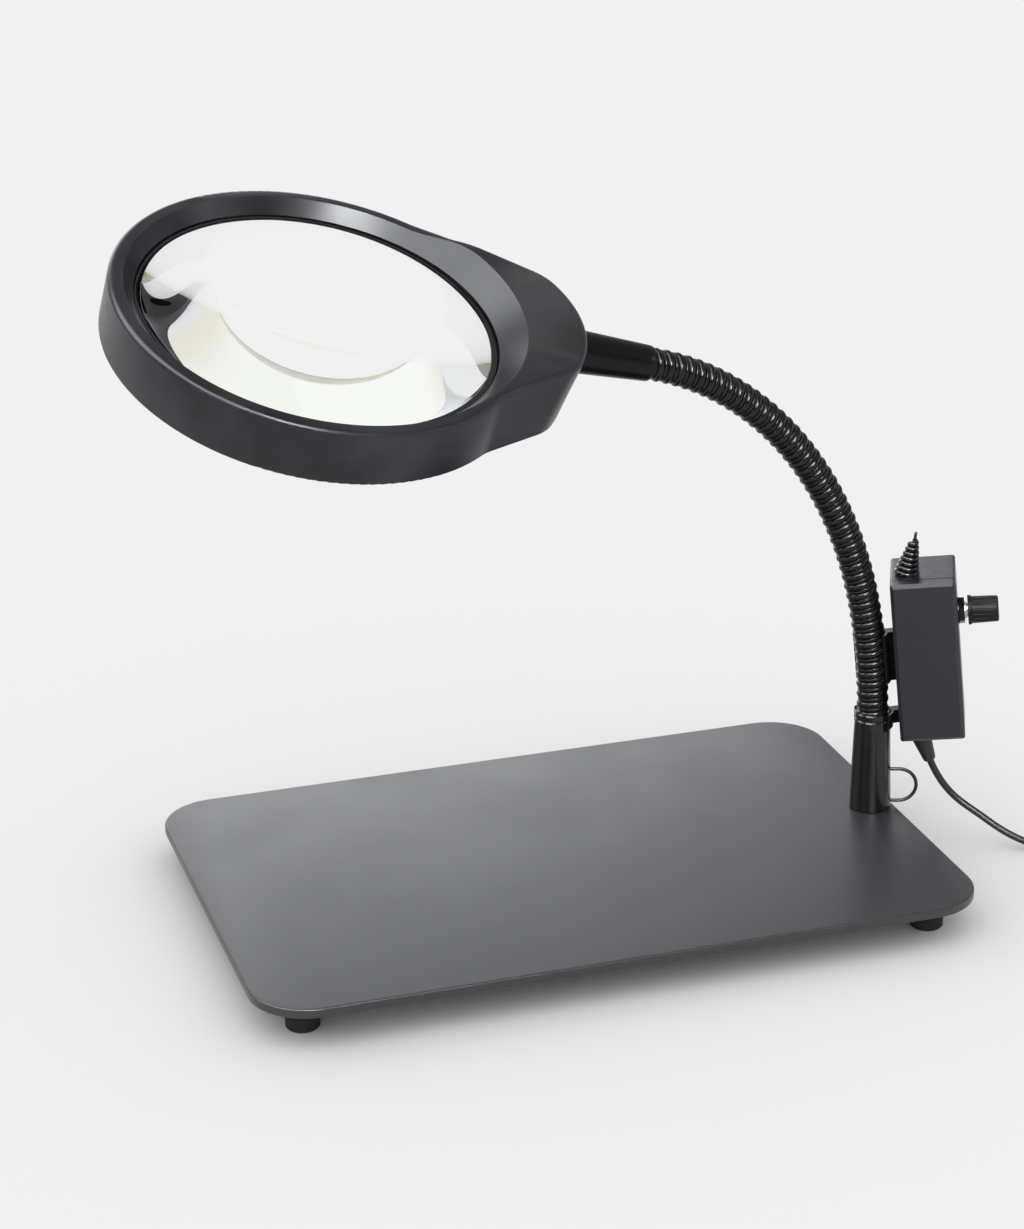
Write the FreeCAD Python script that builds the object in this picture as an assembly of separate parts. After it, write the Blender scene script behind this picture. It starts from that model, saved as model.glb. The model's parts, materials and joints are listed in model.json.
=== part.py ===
import FreeCAD, Part
import math
import os

# A bench magnifying lamp. A round magnifier head with a light ring round its lens sits on a
# flexible neck, which stands in a short post at one end of a flat steel base plate on rubber
# feet. A dimmer box with a knob is clipped beside the bottom of the neck.
# Millimetres. The origin is on the bench top under the middle of the base plate, +X runs
# towards the post, +Y to the back, and +Z up.

Vector = FreeCAD.Vector
X_AXIS = Vector(1, 0, 0)
Y_AXIS = Vector(0, 1, 0)
Z_AXIS = Vector(0, 0, 1)
ORIGIN = Vector(0, 0, 0)

# ---- driving dimensions -------------------------------------------------------------------
RUNNING_GAP = 0.05          # radial play of anything that turns or slides in a hole
LOOSE_GAP = 0.15            # radial play of a screw in a clearance hole

PLATE_LENGTH = 300.0
PLATE_WIDTH = 200.0
PLATE_THICKNESS = 4.0
PLATE_CORNER = 24.0
PLATE_EDGE_ROUND = 0.8
FOOT_HEIGHT = 13.0
FOOT_RADIUS = 7.0
FOOT_INSET = 20.0           # foot centre from the plate's edges
FOOT_SCREW_RADIUS = 2.0

POST_X = 140.0
POST_HEIGHT = 41.0
POST_FOOT_RADIUS = 8.85
POST_TOP_RADIUS = 7.55
POST_BOLT_RADIUS = 4.0

COIL_RADIUS = 6.75          # outside of the neck's wound wires
CORE_RADIUS = 5.0           # bottom of the groove between them
NECK_BORE_RADIUS = 2.6
COIL_PITCH = 4.6
SECTION_TURNS = 3           # turns of wire in one bending section
HELD_SECTIONS = 4           # sections that the dimmer box's clips hold still
FREE_SECTIONS = 11
NECK_START_HEADING = 90.9   # degrees above +X, where the neck leaves the post
NECK_FIRST_TURN = 2.41      # degrees that the lowest section curves
NECK_TURN_GROWTH = 0.363    # and how much more each next one does
SECTION_GAP = 1.0           # between the cores of two sections

SLEEVE_LENGTH = 37.3
SLEEVE_HEAD_RADIUS = 8.65
SLEEVE_COIL_RADIUS = 7.2
SPIGOT_RADIUS = 5.0

HEAD_CENTRE = Vector(-93.3, -2.0, 260.0)    # middle of the rim's plane
HEAD_YAW = -1.2
HEAD_PITCH = 9.9            # the tail hangs down towards the neck
HEAD_ROLL = 20.0            # the lens faces the person at the front edge of the plate
HEAD_RADIUS = 81.0
HEAD_HEIGHT = 23.0
HEAD_WALL = 2.0
RIM_ROUND = 2.4
TAIL_TURN = -2.0            # of the tail round the lens, towards the front
TAIL_SIDE_ANGLE = 57.5      # of a tail side's normal from the head's long axis
TAIL_SIDE_DISTANCE = 78.0   # of a tail side from the head's centre
TAIL_END_CENTRE = 44.4
TAIL_END_RADIUS = 60.0
TAIL_END_DRAFT = 4.5        # that the tail's end slants inwards on its way down
TAIL_CORNER = 22.0
TAIL_RISE = 4.5             # of the tail's top above the rim's plane
TAIL_RISE_START = 42.0      # where the top starts to rise, from the head's centre
TAIL_RISE_END = 70.0
WAIST_ROUND = 25.0
WAIST_NEAR = 45.0           # the waist lies between these distances from the head's centre
WAIST_FAR = 78.0
BEZEL_RIM_RADIUS = 75.4     # of the conical bezel in the rim's plane
BEZEL_INNER_RADIUS = 70.6
BEZEL_DEPTH = 5.5
SEAT_RADIUS = 67.7
LENS_RADIUS = 69.9
LENS_CURVATURE = 186.0
LENS_EDGE = 1.7
LENS_TOP_DEPTH = 8.3
LED_COUNT = 40

BOX_WIDTH = 27.0
BOX_DEPTH = 34.0
BOX_HEIGHT = 70.4
BOX_WALL = 2.0
BOX_CENTRE = Vector(163.5, -2.0, 86.6)
BOX_YAW = -25.0
BOX_LEAN = -5.6
KNOB_HEIGHT = 16.5          # of the knob's axis above the box's middle
KNOB_RADIUS = 5.7
KNOB_LENGTH = 12.7
SHAFT_RADIUS = 3.0

CORD_RADIUS = 1.5

# ---- places worked out from them ----------------------------------------------------------
PLATE_TOP = FOOT_HEIGHT + PLATE_THICKNESS
POST_TOP = PLATE_TOP + POST_HEIGHT
SECTION_LENGTH = COIL_PITCH * SECTION_TURNS
HEAD_TILT = FreeCAD.Rotation(HEAD_YAW, HEAD_PITCH, HEAD_ROLL)
HEAD_PLACE = FreeCAD.Placement(HEAD_CENTRE, HEAD_TILT.multiply(FreeCAD.Rotation(Z_AXIS, TAIL_TURN)))
BOX_PLACE = FreeCAD.Placement(BOX_CENTRE, FreeCAD.Rotation(BOX_YAW, BOX_LEAN, 0))


# ---- shared shape makers ------------------------------------------------------------------
def save(node, *solids):
    """Write one node's solids."""
    shape = solids[0] if len(solids) == 1 else Part.makeCompound(list(solids))
    shape.exportStep(os.path.join("parts", node + ".step"))


def placed(shape, placement):
    """The shape moved from its own frame to its place in the lamp."""
    return shape.transformed(placement.toMatrix())


def along(start, direction):
    """A placement whose +Z runs from start along direction."""
    return FreeCAD.Placement(start, FreeCAD.Rotation(Z_AXIS, direction))


def disc(radius, low, high, x=0.0, y=0.0):
    """An upright cylinder between two heights."""
    return Part.makeCylinder(radius, high - low, Vector(x, y, low))


def turned(points):
    """The solid of revolution about Z of a section given as (radius, height) points."""
    corners = [Vector(radius, 0, height) for radius, height in points]
    section = Part.Face(Part.makePolygon(corners + corners[:1]))
    return section.revolve(ORIGIN, Z_AXIS, 360)


def hexagon(across_flats, low, high):
    """An upright hexagonal prism."""
    radius = across_flats / math.sqrt(3)
    angles = [math.radians(60 * i) for i in range(7)]
    corners = [Vector(radius * math.cos(a), radius * math.sin(a), low) for a in angles]
    return Part.Face(Part.makePolygon(corners)).extrude(Vector(0, 0, high - low))


def block(low, high):
    """A box between two corners."""
    size = high - low
    return Part.makeBox(size.x, size.y, size.z, low)


def joined(first, *others):
    """One solid from touching or overlapping ones."""
    return first.fuse(list(others)).removeSplitter()


def is_upright(edge):
    """True for a straight edge along Z."""
    run = edge.Vertexes[-1].Point - edge.Vertexes[0].Point
    return math.hypot(run.x, run.y) < 1e-6 < abs(run.z)


def lies_at(edge, height):
    """True for an edge that is wholly at one height."""
    box = edge.BoundBox
    return abs(box.ZMin - height) < 1e-4 and abs(box.ZMax - height) < 1e-4


def rounded(solid, radius, chosen):
    """The solid with its chosen edges rounded."""
    return solid.makeFillet(radius, [edge for edge in solid.Edges if chosen(edge)])


def swept(points, radius):
    """A round cord along a smooth curve through points."""
    curve = Part.BSplineCurve()
    curve.interpolate(points)
    path = Part.Wire(curve.toShape())
    start_direction = curve.tangent(curve.FirstParameter)[0]
    circle = Part.Wire(Part.makeCircle(radius, points[0], start_direction))
    return path.makePipeShell([circle], True, True)


# ---- base -----------------------------------------------------------------------------------
def foot_places():
    """Centres of the four feet."""
    x = PLATE_LENGTH / 2 - FOOT_INSET
    y = PLATE_WIDTH / 2 - FOOT_INSET
    return [(i * x, j * y) for i in (-1, 1) for j in (-1, 1)]


FOOT_SCREW_BITE = 3.0       # of the foot's screw in the plate


def base_plate():
    """The flat steel plate, tapped from below for the feet and drilled for the post's bolt."""
    half = Vector(PLATE_LENGTH / 2, PLATE_WIDTH / 2, 0)
    plate = block(Vector(-half.x, -half.y, FOOT_HEIGHT), Vector(half.x, half.y, PLATE_TOP))
    plate = rounded(plate, PLATE_CORNER, is_upright)
    faces = (PLATE_TOP, FOOT_HEIGHT)
    plate = rounded(plate, PLATE_EDGE_ROUND, lambda edge: any(lies_at(edge, height) for height in faces))
    tapped_to = FOOT_HEIGHT + FOOT_SCREW_BITE + 0.2
    holes = [
        disc(FOOT_SCREW_RADIUS + RUNNING_GAP, FOOT_HEIGHT, tapped_to, x, y)
        for x, y in foot_places()
    ]
    holes.append(disc(POST_BOLT_RADIUS + LOOSE_GAP, FOOT_HEIGHT, PLATE_TOP, POST_X))
    return plate.cut(holes)


FOOT_RECESS_DEPTH = 6.5
FOOT_RECESS_RADIUS = 3.9
PAN_HEAD_RADIUS = 3.5
PAN_HEAD_HEIGHT = 2.2
PAN_SLOT_DEPTH = 1.0
PAN_SLOT_HALF_WIDTH = 0.5


def foot_and_screw(x, y):
    """A rubber foot, recessed for the pan-head screw that holds it."""
    foot = turned([
        (FOOT_SCREW_RADIUS + LOOSE_GAP, FOOT_RECESS_DEPTH),
        (FOOT_RECESS_RADIUS, FOOT_RECESS_DEPTH),
        (FOOT_RECESS_RADIUS, 0),
        (FOOT_RADIUS - 1.0, 0),
        (FOOT_RADIUS - 0.3, 0.8),
        (FOOT_RADIUS, FOOT_HEIGHT - 1.0),
        (FOOT_RADIUS - 0.6, FOOT_HEIGHT),
        (FOOT_SCREW_RADIUS + LOOSE_GAP, FOOT_HEIGHT),
    ])
    head_floor = FOOT_RECESS_DEPTH - PAN_HEAD_HEIGHT
    head = disc(PAN_HEAD_RADIUS, head_floor, FOOT_RECESS_DEPTH)
    slot = block(
        Vector(-PAN_HEAD_RADIUS, -PAN_SLOT_HALF_WIDTH, head_floor),
        Vector(PAN_HEAD_RADIUS, PAN_SLOT_HALF_WIDTH, head_floor + PAN_SLOT_DEPTH),
    )
    shank = disc(FOOT_SCREW_RADIUS, FOOT_RECESS_DEPTH, FOOT_HEIGHT + FOOT_SCREW_BITE)
    screw = joined(head.cut(slot), shank)
    offset = Vector(x, y, 0)
    foot.translate(offset)
    screw.translate(offset)
    return foot, screw


# ---- post -----------------------------------------------------------------------------------
POST_SOCKET_DEPTH = 20.0    # that the neck's lower end goes into the post
POST_THREAD_DEPTH = 12.0
LOOP_HOLE_HEIGHTS = (PLATE_TOP + 2.4, PLATE_TOP + 17.0)     # the lead leaves and comes back here
LEAD_RADIUS = 0.75
LOOP_ANGLE = math.radians(-20)      # round the post, from +X towards the back
LOOP_START = 5.6            # from the post's axis, inside the post
LOOP_REACH = 19.4
LOOP_DIRECTION = Vector(math.cos(LOOP_ANGLE), math.sin(LOOP_ANGLE), 0)
GRUB_HEIGHT = POST_TOP - 10.0
GRUB_RADIUS = 1.5
GRUB_KEY_SIZE = 1.5
GRUB_KEY_DEPTH = 1.2


def post():
    """The tapered steel post: tapped at the bottom for its bolt, bored from the top for the neck."""
    body = turned([
        (0, PLATE_TOP),
        (POST_FOOT_RADIUS - 0.4, PLATE_TOP),
        (POST_FOOT_RADIUS, PLATE_TOP + 0.6),
        (POST_TOP_RADIUS, POST_TOP - 0.6),
        (POST_TOP_RADIUS - 0.5, POST_TOP),
        (0, POST_TOP),
    ])
    tapped = disc(POST_BOLT_RADIUS + RUNNING_GAP, PLATE_TOP, PLATE_TOP + POST_THREAD_DEPTH)
    socket = placed(
        disc(CORE_RADIUS + RUNNING_GAP, -POST_SOCKET_DEPTH, 1),
        along(Vector(0, 0, POST_TOP), direction(NECK_START_HEADING)),
    )
    lead_way = disc(NECK_BORE_RADIUS, PLATE_TOP + POST_THREAD_DEPTH, POST_TOP)
    side_holes = [
        placed(
            disc(LEAD_RADIUS + LOOSE_GAP, CORE_RADIUS - 0.4, POST_FOOT_RADIUS + 1),
            along(Vector(0, 0, height), LOOP_DIRECTION),
        )
        for height in LOOP_HOLE_HEIGHTS
    ]
    grub_hole = disc(GRUB_RADIUS + RUNNING_GAP, CORE_RADIUS - 1, POST_FOOT_RADIUS + 1)
    grub_hole = placed(grub_hole, along(Vector(0, 0, GRUB_HEIGHT), Y_AXIS))
    body = body.cut([tapped, socket, lead_way, grub_hole] + side_holes)
    body.translate(Vector(POST_X, 0, 0))
    return body


def post_grub_screw():
    """The headless screw that pins the neck in the post, from behind."""
    outer_end = POST_TOP_RADIUS - 0.2
    screw = disc(GRUB_RADIUS, CORE_RADIUS + RUNNING_GAP, outer_end)
    socket = hexagon(GRUB_KEY_SIZE, outer_end - GRUB_KEY_DEPTH, POST_TOP_RADIUS)
    return placed(screw.cut(socket), along(Vector(POST_X, 0, GRUB_HEIGHT), Y_AXIS))


WASHER_THICKNESS = 1.6      # stock 8 mm washer and hexagon bolt
WASHER_RADIUS = 7.9
BOLT_FLATS = 13.0
BOLT_HEAD_HEIGHT = 5.3


def post_washer():
    """Plain washer between the plate and the bolt's head."""
    hole = disc(POST_BOLT_RADIUS + LOOSE_GAP, FOOT_HEIGHT - WASHER_THICKNESS, FOOT_HEIGHT, POST_X)
    return disc(WASHER_RADIUS, FOOT_HEIGHT - WASHER_THICKNESS, FOOT_HEIGHT, POST_X).cut(hole)


def post_bolt():
    """Hexagon bolt from below the plate into the post."""
    seat = FOOT_HEIGHT - WASHER_THICKNESS
    head = hexagon(BOLT_FLATS, seat - BOLT_HEAD_HEIGHT, seat)
    shank = disc(POST_BOLT_RADIUS, seat, PLATE_TOP + POST_THREAD_DEPTH - 1.5)
    bolt = joined(head, shank)
    bolt.translate(Vector(POST_X, 0, 0))
    return bolt


COLLAR_HEIGHT = 3.0


def post_collar():
    """The ring at the post's mouth that the first turn of wire rests on."""
    bore = CORE_RADIUS + LOOSE_GAP
    outer = POST_TOP_RADIUS - 0.1
    top = POST_TOP + COLLAR_HEIGHT
    return turned([
        (bore, POST_TOP),
        (outer - 0.4, POST_TOP),
        (outer, POST_TOP + 0.5),
        (outer, top - 0.5),
        (outer - 0.4, top),
        (bore, top),
    ]).translated(Vector(POST_X, 0, 0))


# ---- neck -----------------------------------------------------------------------------------
def direction(heading):
    """Unit vector in the lamp's middle plane, heading degrees above +X."""
    return Vector(math.cos(math.radians(heading)), 0, math.sin(math.radians(heading)))


def neck_stations():
    """Where each section of the neck starts, as (point, heading), and where the last one ends."""
    point = Vector(POST_X, 0, POST_TOP)
    heading = NECK_START_HEADING
    stations = [(point, heading)]
    for section in range(HELD_SECTIONS + FREE_SECTIONS):
        turn = NECK_FIRST_TURN + NECK_TURN_GROWTH * section
        half_turn = math.radians(turn / 2)
        chord = SECTION_LENGTH * math.sin(half_turn) / half_turn
        point = point + direction(heading + turn / 2) * chord
        heading += turn
        stations.append((point, heading))
    return stations


STATIONS = neck_stations()


def bent_slice(section, start, end, radius, bore):
    """A slice of a section, between two lengths along its curved centre line."""
    point, heading = STATIONS[section]
    turn = STATIONS[section + 1][1] - heading
    bend_radius = SECTION_LENGTH / math.radians(turn)
    centre = point + direction(heading + 90) * bend_radius
    first_angle = turn * start / SECTION_LENGTH
    slice_angle = turn * (end - start) / SECTION_LENGTH
    ring = Part.Face(Part.Wire(Part.makeCircle(radius, point, direction(heading))))
    if bore:
        ring = ring.cut(Part.Face(Part.Wire(Part.makeCircle(bore, point, direction(heading)))))
    ring = ring.rotated(centre, Y_AXIS, -first_angle)
    return ring.Faces[0].revolve(centre, Y_AXIS, -slice_angle)


RIDGE_WIDTH = 3.0


def wound_section(section, low_gap, high_gap, first_turn=0):
    """One section of the neck: a hollow core with a ridge for each turn of wire."""
    core = bent_slice(section, low_gap, SECTION_LENGTH - high_gap, CORE_RADIUS, NECK_BORE_RADIUS)
    ridges = []
    for turn in range(first_turn, SECTION_TURNS):
        start = (turn + 0.5) * COIL_PITCH - RIDGE_WIDTH / 2
        ridges.append(bent_slice(section, start, start + RIDGE_WIDTH, COIL_RADIUS, NECK_BORE_RADIUS))
    return joined(core, *ridges)


def neck_root():
    """The lowest sections, which the clips hold still, and the plain end in the post."""
    plug = disc(CORE_RADIUS, -POST_SOCKET_DEPTH + 0.5, 0)
    plug = plug.cut(disc(NECK_BORE_RADIUS, -POST_SOCKET_DEPTH, 0))
    sections = [placed(plug, along(Vector(POST_X, 0, POST_TOP), direction(NECK_START_HEADING)))]
    sections.append(wound_section(0, 0.0, 0.0, first_turn=1))
    for section in range(1, HELD_SECTIONS):
        high_gap = SECTION_GAP / 2 if section == HELD_SECTIONS - 1 else 0.0
        sections.append(wound_section(section, 0.0, high_gap))
    return joined(*sections)


# ---- sleeve between neck and head -----------------------------------------------------------
SLEEVE_START, SLEEVE_HEADING = STATIONS[-1]
SLEEVE_PLACE = along(SLEEVE_START, direction(SLEEVE_HEADING))
TAIL_BOSS_THICKNESS = 5.0
SPIGOT_LENGTH = 16.0
SPIGOT_WASHER_THICKNESS = 1.2
SPIGOT_WASHER_RADIUS = 7.2
NUT_FLATS = 13.0
NUT_HEIGHT = 5.0
NUT_AXIAL_GAP = 0.1         # lets the head swivel


def neck_sleeve():
    """The smooth tapered sleeve on the neck's end, with the threaded spigot that enters the head."""
    return turned([
        (NECK_BORE_RADIUS, SECTION_GAP / 2),
        (SLEEVE_COIL_RADIUS - 1.6, SECTION_GAP / 2),
        (SLEEVE_COIL_RADIUS - 0.4, 1.6),
        (SLEEVE_COIL_RADIUS, 2.4),
        (SLEEVE_HEAD_RADIUS, SLEEVE_LENGTH - 4),
        (SLEEVE_HEAD_RADIUS, SLEEVE_LENGTH),
        (SPIGOT_RADIUS, SLEEVE_LENGTH),
        (SPIGOT_RADIUS, SLEEVE_LENGTH + SPIGOT_LENGTH),
        (NECK_BORE_RADIUS, SLEEVE_LENGTH + SPIGOT_LENGTH),
    ])


def spigot_nut():
    """The nut that keeps the spigot in the head and lets the head swivel on it."""
    seat = SLEEVE_LENGTH + TAIL_BOSS_THICKNESS + SPIGOT_WASHER_THICKNESS + NUT_AXIAL_GAP
    return hexagon(NUT_FLATS, seat, seat + NUT_HEIGHT).cut(disc(SPIGOT_RADIUS, seat, seat + NUT_HEIGHT))


def spigot_washer():
    """The friction washer under the nut."""
    seat = SLEEVE_LENGTH + TAIL_BOSS_THICKNESS + RUNNING_GAP
    hole = disc(SPIGOT_RADIUS + RUNNING_GAP, seat, seat + SPIGOT_WASHER_THICKNESS)
    return disc(SPIGOT_WASHER_RADIUS, seat, seat + SPIGOT_WASHER_THICKNESS).cut(hole)


# ---- head: its own frame has +X along the tail, +Z out of the lens, origin in the rim's plane --
def tail_wire(inset, height):
    """The tail's outline at a height: two straight sides, and a bowed end with round corners."""
    side_angle = math.radians(TAIL_SIDE_ANGLE)
    outwards = Vector(math.cos(side_angle), math.sin(side_angle), 0)
    rearwards = Vector(math.sin(side_angle), -math.cos(side_angle), 0)
    share = (TAIL_RISE - height) / (TAIL_RISE + HEAD_HEIGHT)
    end_centre = Vector(TAIL_END_CENTRE - TAIL_END_DRAFT * share, 0, 0)
    corner_start = outwards * (TAIL_SIDE_DISTANCE - TAIL_CORNER)
    from_centre = corner_start - end_centre
    half_b = from_centre.dot(rearwards)
    constant = from_centre.dot(from_centre) - (TAIL_END_RADIUS - TAIL_CORNER) ** 2
    corner_centre = corner_start + rearwards * (math.sqrt(half_b ** 2 - constant) - half_b)
    corner_radius = TAIL_CORNER - inset
    to_end = (corner_centre - end_centre).normalize()
    halfway = (outwards + to_end).normalize()
    start = outwards * (TAIL_SIDE_DISTANCE - inset)
    arc = [corner_centre + heading * corner_radius for heading in (outwards, halfway, to_end)]
    tip = end_centre + Vector(TAIL_END_RADIUS - inset, 0, 0)

    def mirrored(point):
        return Vector(point.x, -point.y, 0)

    edges = [
        Part.makeLine(ORIGIN, start),
        Part.makeLine(start, arc[0]),
        Part.Arc(*arc).toShape(),
        Part.Arc(arc[2], tip, mirrored(arc[2])).toShape(),
        Part.Arc(*[mirrored(point) for point in reversed(arc)]).toShape(),
        Part.makeLine(mirrored(arc[0]), mirrored(start)),
        Part.makeLine(mirrored(start), ORIGIN),
    ]
    return Part.Wire(edges).translated(Vector(0, 0, height))


def head_prism(inset, low, high):
    """The head's outline as a solid between two heights, drawn a little inside the true outside.
    Its tail is narrower at the bottom, where the tail's end slants in."""
    tail = Part.makeLoft([tail_wire(inset, low), tail_wire(inset, high)], True, True)
    prism = joined(disc(HEAD_RADIUS - inset, low, high), tail)

    def at_waist(edge):
        box = edge.BoundBox
        return is_upright(edge) and WAIST_NEAR < box.XMin < WAIST_FAR

    return rounded(prism, WAIST_ROUND + inset, at_waist)


def bezel_cone(grow, low, high):
    """The slanted bezel between two heights."""
    slope = (BEZEL_RIM_RADIUS - BEZEL_INNER_RADIUS) / BEZEL_DEPTH
    low_radius = BEZEL_RIM_RADIUS + slope * low + grow
    high_radius = BEZEL_RIM_RADIUS + slope * high + grow
    return Part.makeCone(low_radius, high_radius, high - low, Vector(0, 0, low))


def room_above_top(drop):
    """Everything above the head's top, or above a surface some way under it. The top is flat
    over the lens and rises in a smooth step to the tail."""
    far = 200.0
    low = Vector(TAIL_RISE_START, -far, -drop)
    high = Vector(TAIL_RISE_END, -far, TAIL_RISE - drop)
    middle = (low + high) * 0.5
    step = Part.BSplineCurve()
    step.interpolate([low, middle, high], InitialTangent=X_AXIS, FinalTangent=X_AXIS)
    left = Vector(-far, -far, -drop)
    right = Vector(far, -far, TAIL_RISE - drop)
    up = Vector(0, 0, far)
    edges = [
        Part.makeLine(left, low),
        step.toShape(),
        Part.makeLine(high, right),
        Part.makeLine(right, right + up),
        Part.makeLine(right + up, left + up),
        Part.makeLine(left + up, left),
    ]
    return Part.Face(Part.Wire(edges)).extrude(Vector(0, 2 * far, 0))


COVER_THICKNESS = 1.8
COVER_GAP = 0.1
SEAL_THICKNESS = 1.0
SEAT_THICKNESS = 1.5
LENS_BOTTOM_DEPTH = LENS_TOP_DEPTH + LENS_EDGE
SEAT_DEPTH = LENS_BOTTOM_DEPTH + SEAL_THICKNESS
TUBE_RADIUS = BEZEL_INNER_RADIUS + 2.0
COVER_TOP_DEPTH = HEAD_HEIGHT - COVER_THICKNESS
COVER_OPENING_RADIUS = 74.6
BOSS_RADIUS = 1.95
HEAD_SCREW_RADIUS = 0.9
HEAD_SCREW_HEAD_RADIUS = 1.65
HEAD_SCREW_BITE = 6.0       # of the screw in its boss
RING_SCREW_RADIUS = 76.8
RING_SCREW_ANGLES = (75, 125, 180, 235, 285)
TAIL_SCREWS = ((87, 22), (87, -22))


def head_screw_places():
    """Where the screws of the bottom cover stand: round the ring and in the tail."""
    ring = [
        (RING_SCREW_RADIUS * math.cos(math.radians(a)), RING_SCREW_RADIUS * math.sin(math.radians(a)))
        for a in RING_SCREW_ANGLES
    ]
    return ring + list(TAIL_SCREWS)


def sleeve_in_head(shape):
    """A shape of the sleeve's own frame, carried into the head's frame."""
    return placed(placed(shape, SLEEVE_PLACE), HEAD_PLACE.inverse())


def on_top_outline(edge):
    """True for the edges between the head's side and its top, not for those across the top where
    its smooth step starts and ends."""
    box = edge.BoundBox
    return box.ZMin > -1e-3 and not is_upright(edge) and box.XLength > 1e-3


def upper_housing():
    """The head's moulded top: rim, bezel, tail, side wall, lens seat and screw bosses."""
    outside = head_prism(0, -HEAD_HEIGHT, TAIL_RISE + 1)
    outside = outside.cut(room_above_top(0))
    outside = rounded(outside, RIM_ROUND, on_top_outline)
    outside = rounded(outside, 0.8, lambda e: lies_at(e, -HEAD_HEIGHT))
    inside = head_prism(HEAD_WALL, -HEAD_HEIGHT, TAIL_RISE)
    inside = inside.cut(room_above_top(HEAD_WALL))
    shell = outside.cut(inside)
    under_top = room_above_top(HEAD_WALL - 0.5)
    bezel = bezel_cone(2.0, -BEZEL_DEPTH, TAIL_RISE).cut(under_top)
    tube = disc(TUBE_RADIUS, -SEAT_DEPTH - SEAT_THICKNESS, -BEZEL_DEPTH)
    bosses = [
        disc(BOSS_RADIUS, -COVER_TOP_DEPTH + COVER_GAP, TAIL_RISE, x, y).cut(under_top)
        for x, y in head_screw_places()
    ]
    boss = disc(10.5, SLEEVE_LENGTH - 3, SLEEVE_LENGTH + TAIL_BOSS_THICKNESS)
    boss_room = head_prism(0.5, -COVER_TOP_DEPTH + COVER_GAP, TAIL_RISE)
    boss_room = boss_room.cut(room_above_top(0.5))
    whole = joined(shell, bezel, tube, sleeve_in_head(boss).common(boss_room), *bosses)
    opening = joined(
        bezel_cone(0, -BEZEL_DEPTH, TAIL_RISE + 2),
        disc(BEZEL_INNER_RADIUS, -SEAT_DEPTH, -BEZEL_DEPTH),
        disc(SEAT_RADIUS, -HEAD_HEIGHT, -SEAT_DEPTH),
    )
    pilot_holes = [
        disc(HEAD_SCREW_RADIUS + 0.02, -COVER_TOP_DEPTH, -COVER_TOP_DEPTH + HEAD_SCREW_BITE + 1, x, y)
        for x, y in head_screw_places()
    ]
    sleeve_end = SLEEVE_LENGTH + RUNNING_GAP
    sleeve_room = sleeve_in_head(disc(SLEEVE_HEAD_RADIUS + 0.2, SLEEVE_LENGTH - 6, sleeve_end))
    spigot_room = sleeve_in_head(disc(SPIGOT_RADIUS + RUNNING_GAP, SLEEVE_LENGTH - 1, SLEEVE_LENGTH + 12))
    return whole.cut([opening, sleeve_room, spigot_room] + pilot_holes)


def lower_cover():
    """The flat bottom cover of the ring and tail, inside the side wall, recessed for its screws."""
    cover = head_prism(HEAD_WALL + COVER_GAP, -HEAD_HEIGHT, -COVER_TOP_DEPTH)
    cuts = [disc(COVER_OPENING_RADIUS, -HEAD_HEIGHT, -COVER_TOP_DEPTH)]
    for x, y in head_screw_places():
        cuts.append(disc(HEAD_SCREW_RADIUS + LOOSE_GAP, -HEAD_HEIGHT, -COVER_TOP_DEPTH, x, y))
        cuts.append(disc(HEAD_SCREW_HEAD_RADIUS + LOOSE_GAP, -HEAD_HEIGHT, -HEAD_HEIGHT + 0.9, x, y))
    return cover.cut(cuts)


def head_screws():
    """The screws that hold the cover, their heads level with it."""
    screws = []
    for x, y in head_screw_places():
        head = disc(HEAD_SCREW_HEAD_RADIUS, -HEAD_HEIGHT + 0.1, -HEAD_HEIGHT + 0.9, x, y)
        shank = disc(HEAD_SCREW_RADIUS, -HEAD_HEIGHT + 0.9, -COVER_TOP_DEPTH + HEAD_SCREW_BITE, x, y)
        cross = block(Vector(x - 1.0, y - 0.2, -HEAD_HEIGHT), Vector(x + 1.0, y + 0.2, -HEAD_HEIGHT + 0.45))
        screws.append(joined(head, shank).cut(cross))
    return screws


def lens():
    """The double-convex magnifying glass with its plain edge."""
    rise = math.sqrt(LENS_CURVATURE ** 2 - LENS_RADIUS ** 2)
    bulge = LENS_CURVATURE - rise
    blank = disc(LENS_RADIUS, -LENS_BOTTOM_DEPTH - bulge, -LENS_TOP_DEPTH + bulge)
    top_ball = Part.makeSphere(LENS_CURVATURE, Vector(0, 0, -LENS_TOP_DEPTH - rise))
    bottom_ball = Part.makeSphere(LENS_CURVATURE, Vector(0, 0, -LENS_BOTTOM_DEPTH + rise))
    return blank.common(top_ball).common(bottom_ball)


def lens_seal():
    """The soft ring between the lens's edge and its seat."""
    ring = disc(LENS_RADIUS, -SEAT_DEPTH, -LENS_BOTTOM_DEPTH)
    return ring.cut([disc(SEAT_RADIUS, -SEAT_DEPTH, -LENS_BOTTOM_DEPTH), lens()])


def lens_ring():
    """The glossy ring pressed in over the lens's edge."""
    outer = BEZEL_INNER_RADIUS - 0.1
    inner = SEAT_RADIUS - 0.3
    top = -BEZEL_DEPTH - 0.9
    ring = turned([
        (inner, -LENS_TOP_DEPTH),
        (inner, top - 0.9),
        (inner + 0.4, top - 0.2),
        (inner + 1.2, top),
        (outer - 0.5, top - 0.3),
        (outer, top - 0.9),
        (outer, -LENS_TOP_DEPTH),
    ])
    return ring.cut(lens())


LED_TOP_DEPTH = SEAT_DEPTH + SEAT_THICKNESS
LED_SLOPE_RUN = 2.2         # how far the LED ring flares out on its way down
LED_BOARD_THICKNESS = 1.2
LED_INNER_RADIUS = 71.0
CHIP_HALF_WIDTH = 1.4
CHIP_HALF_HEIGHT = 1.75


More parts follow.
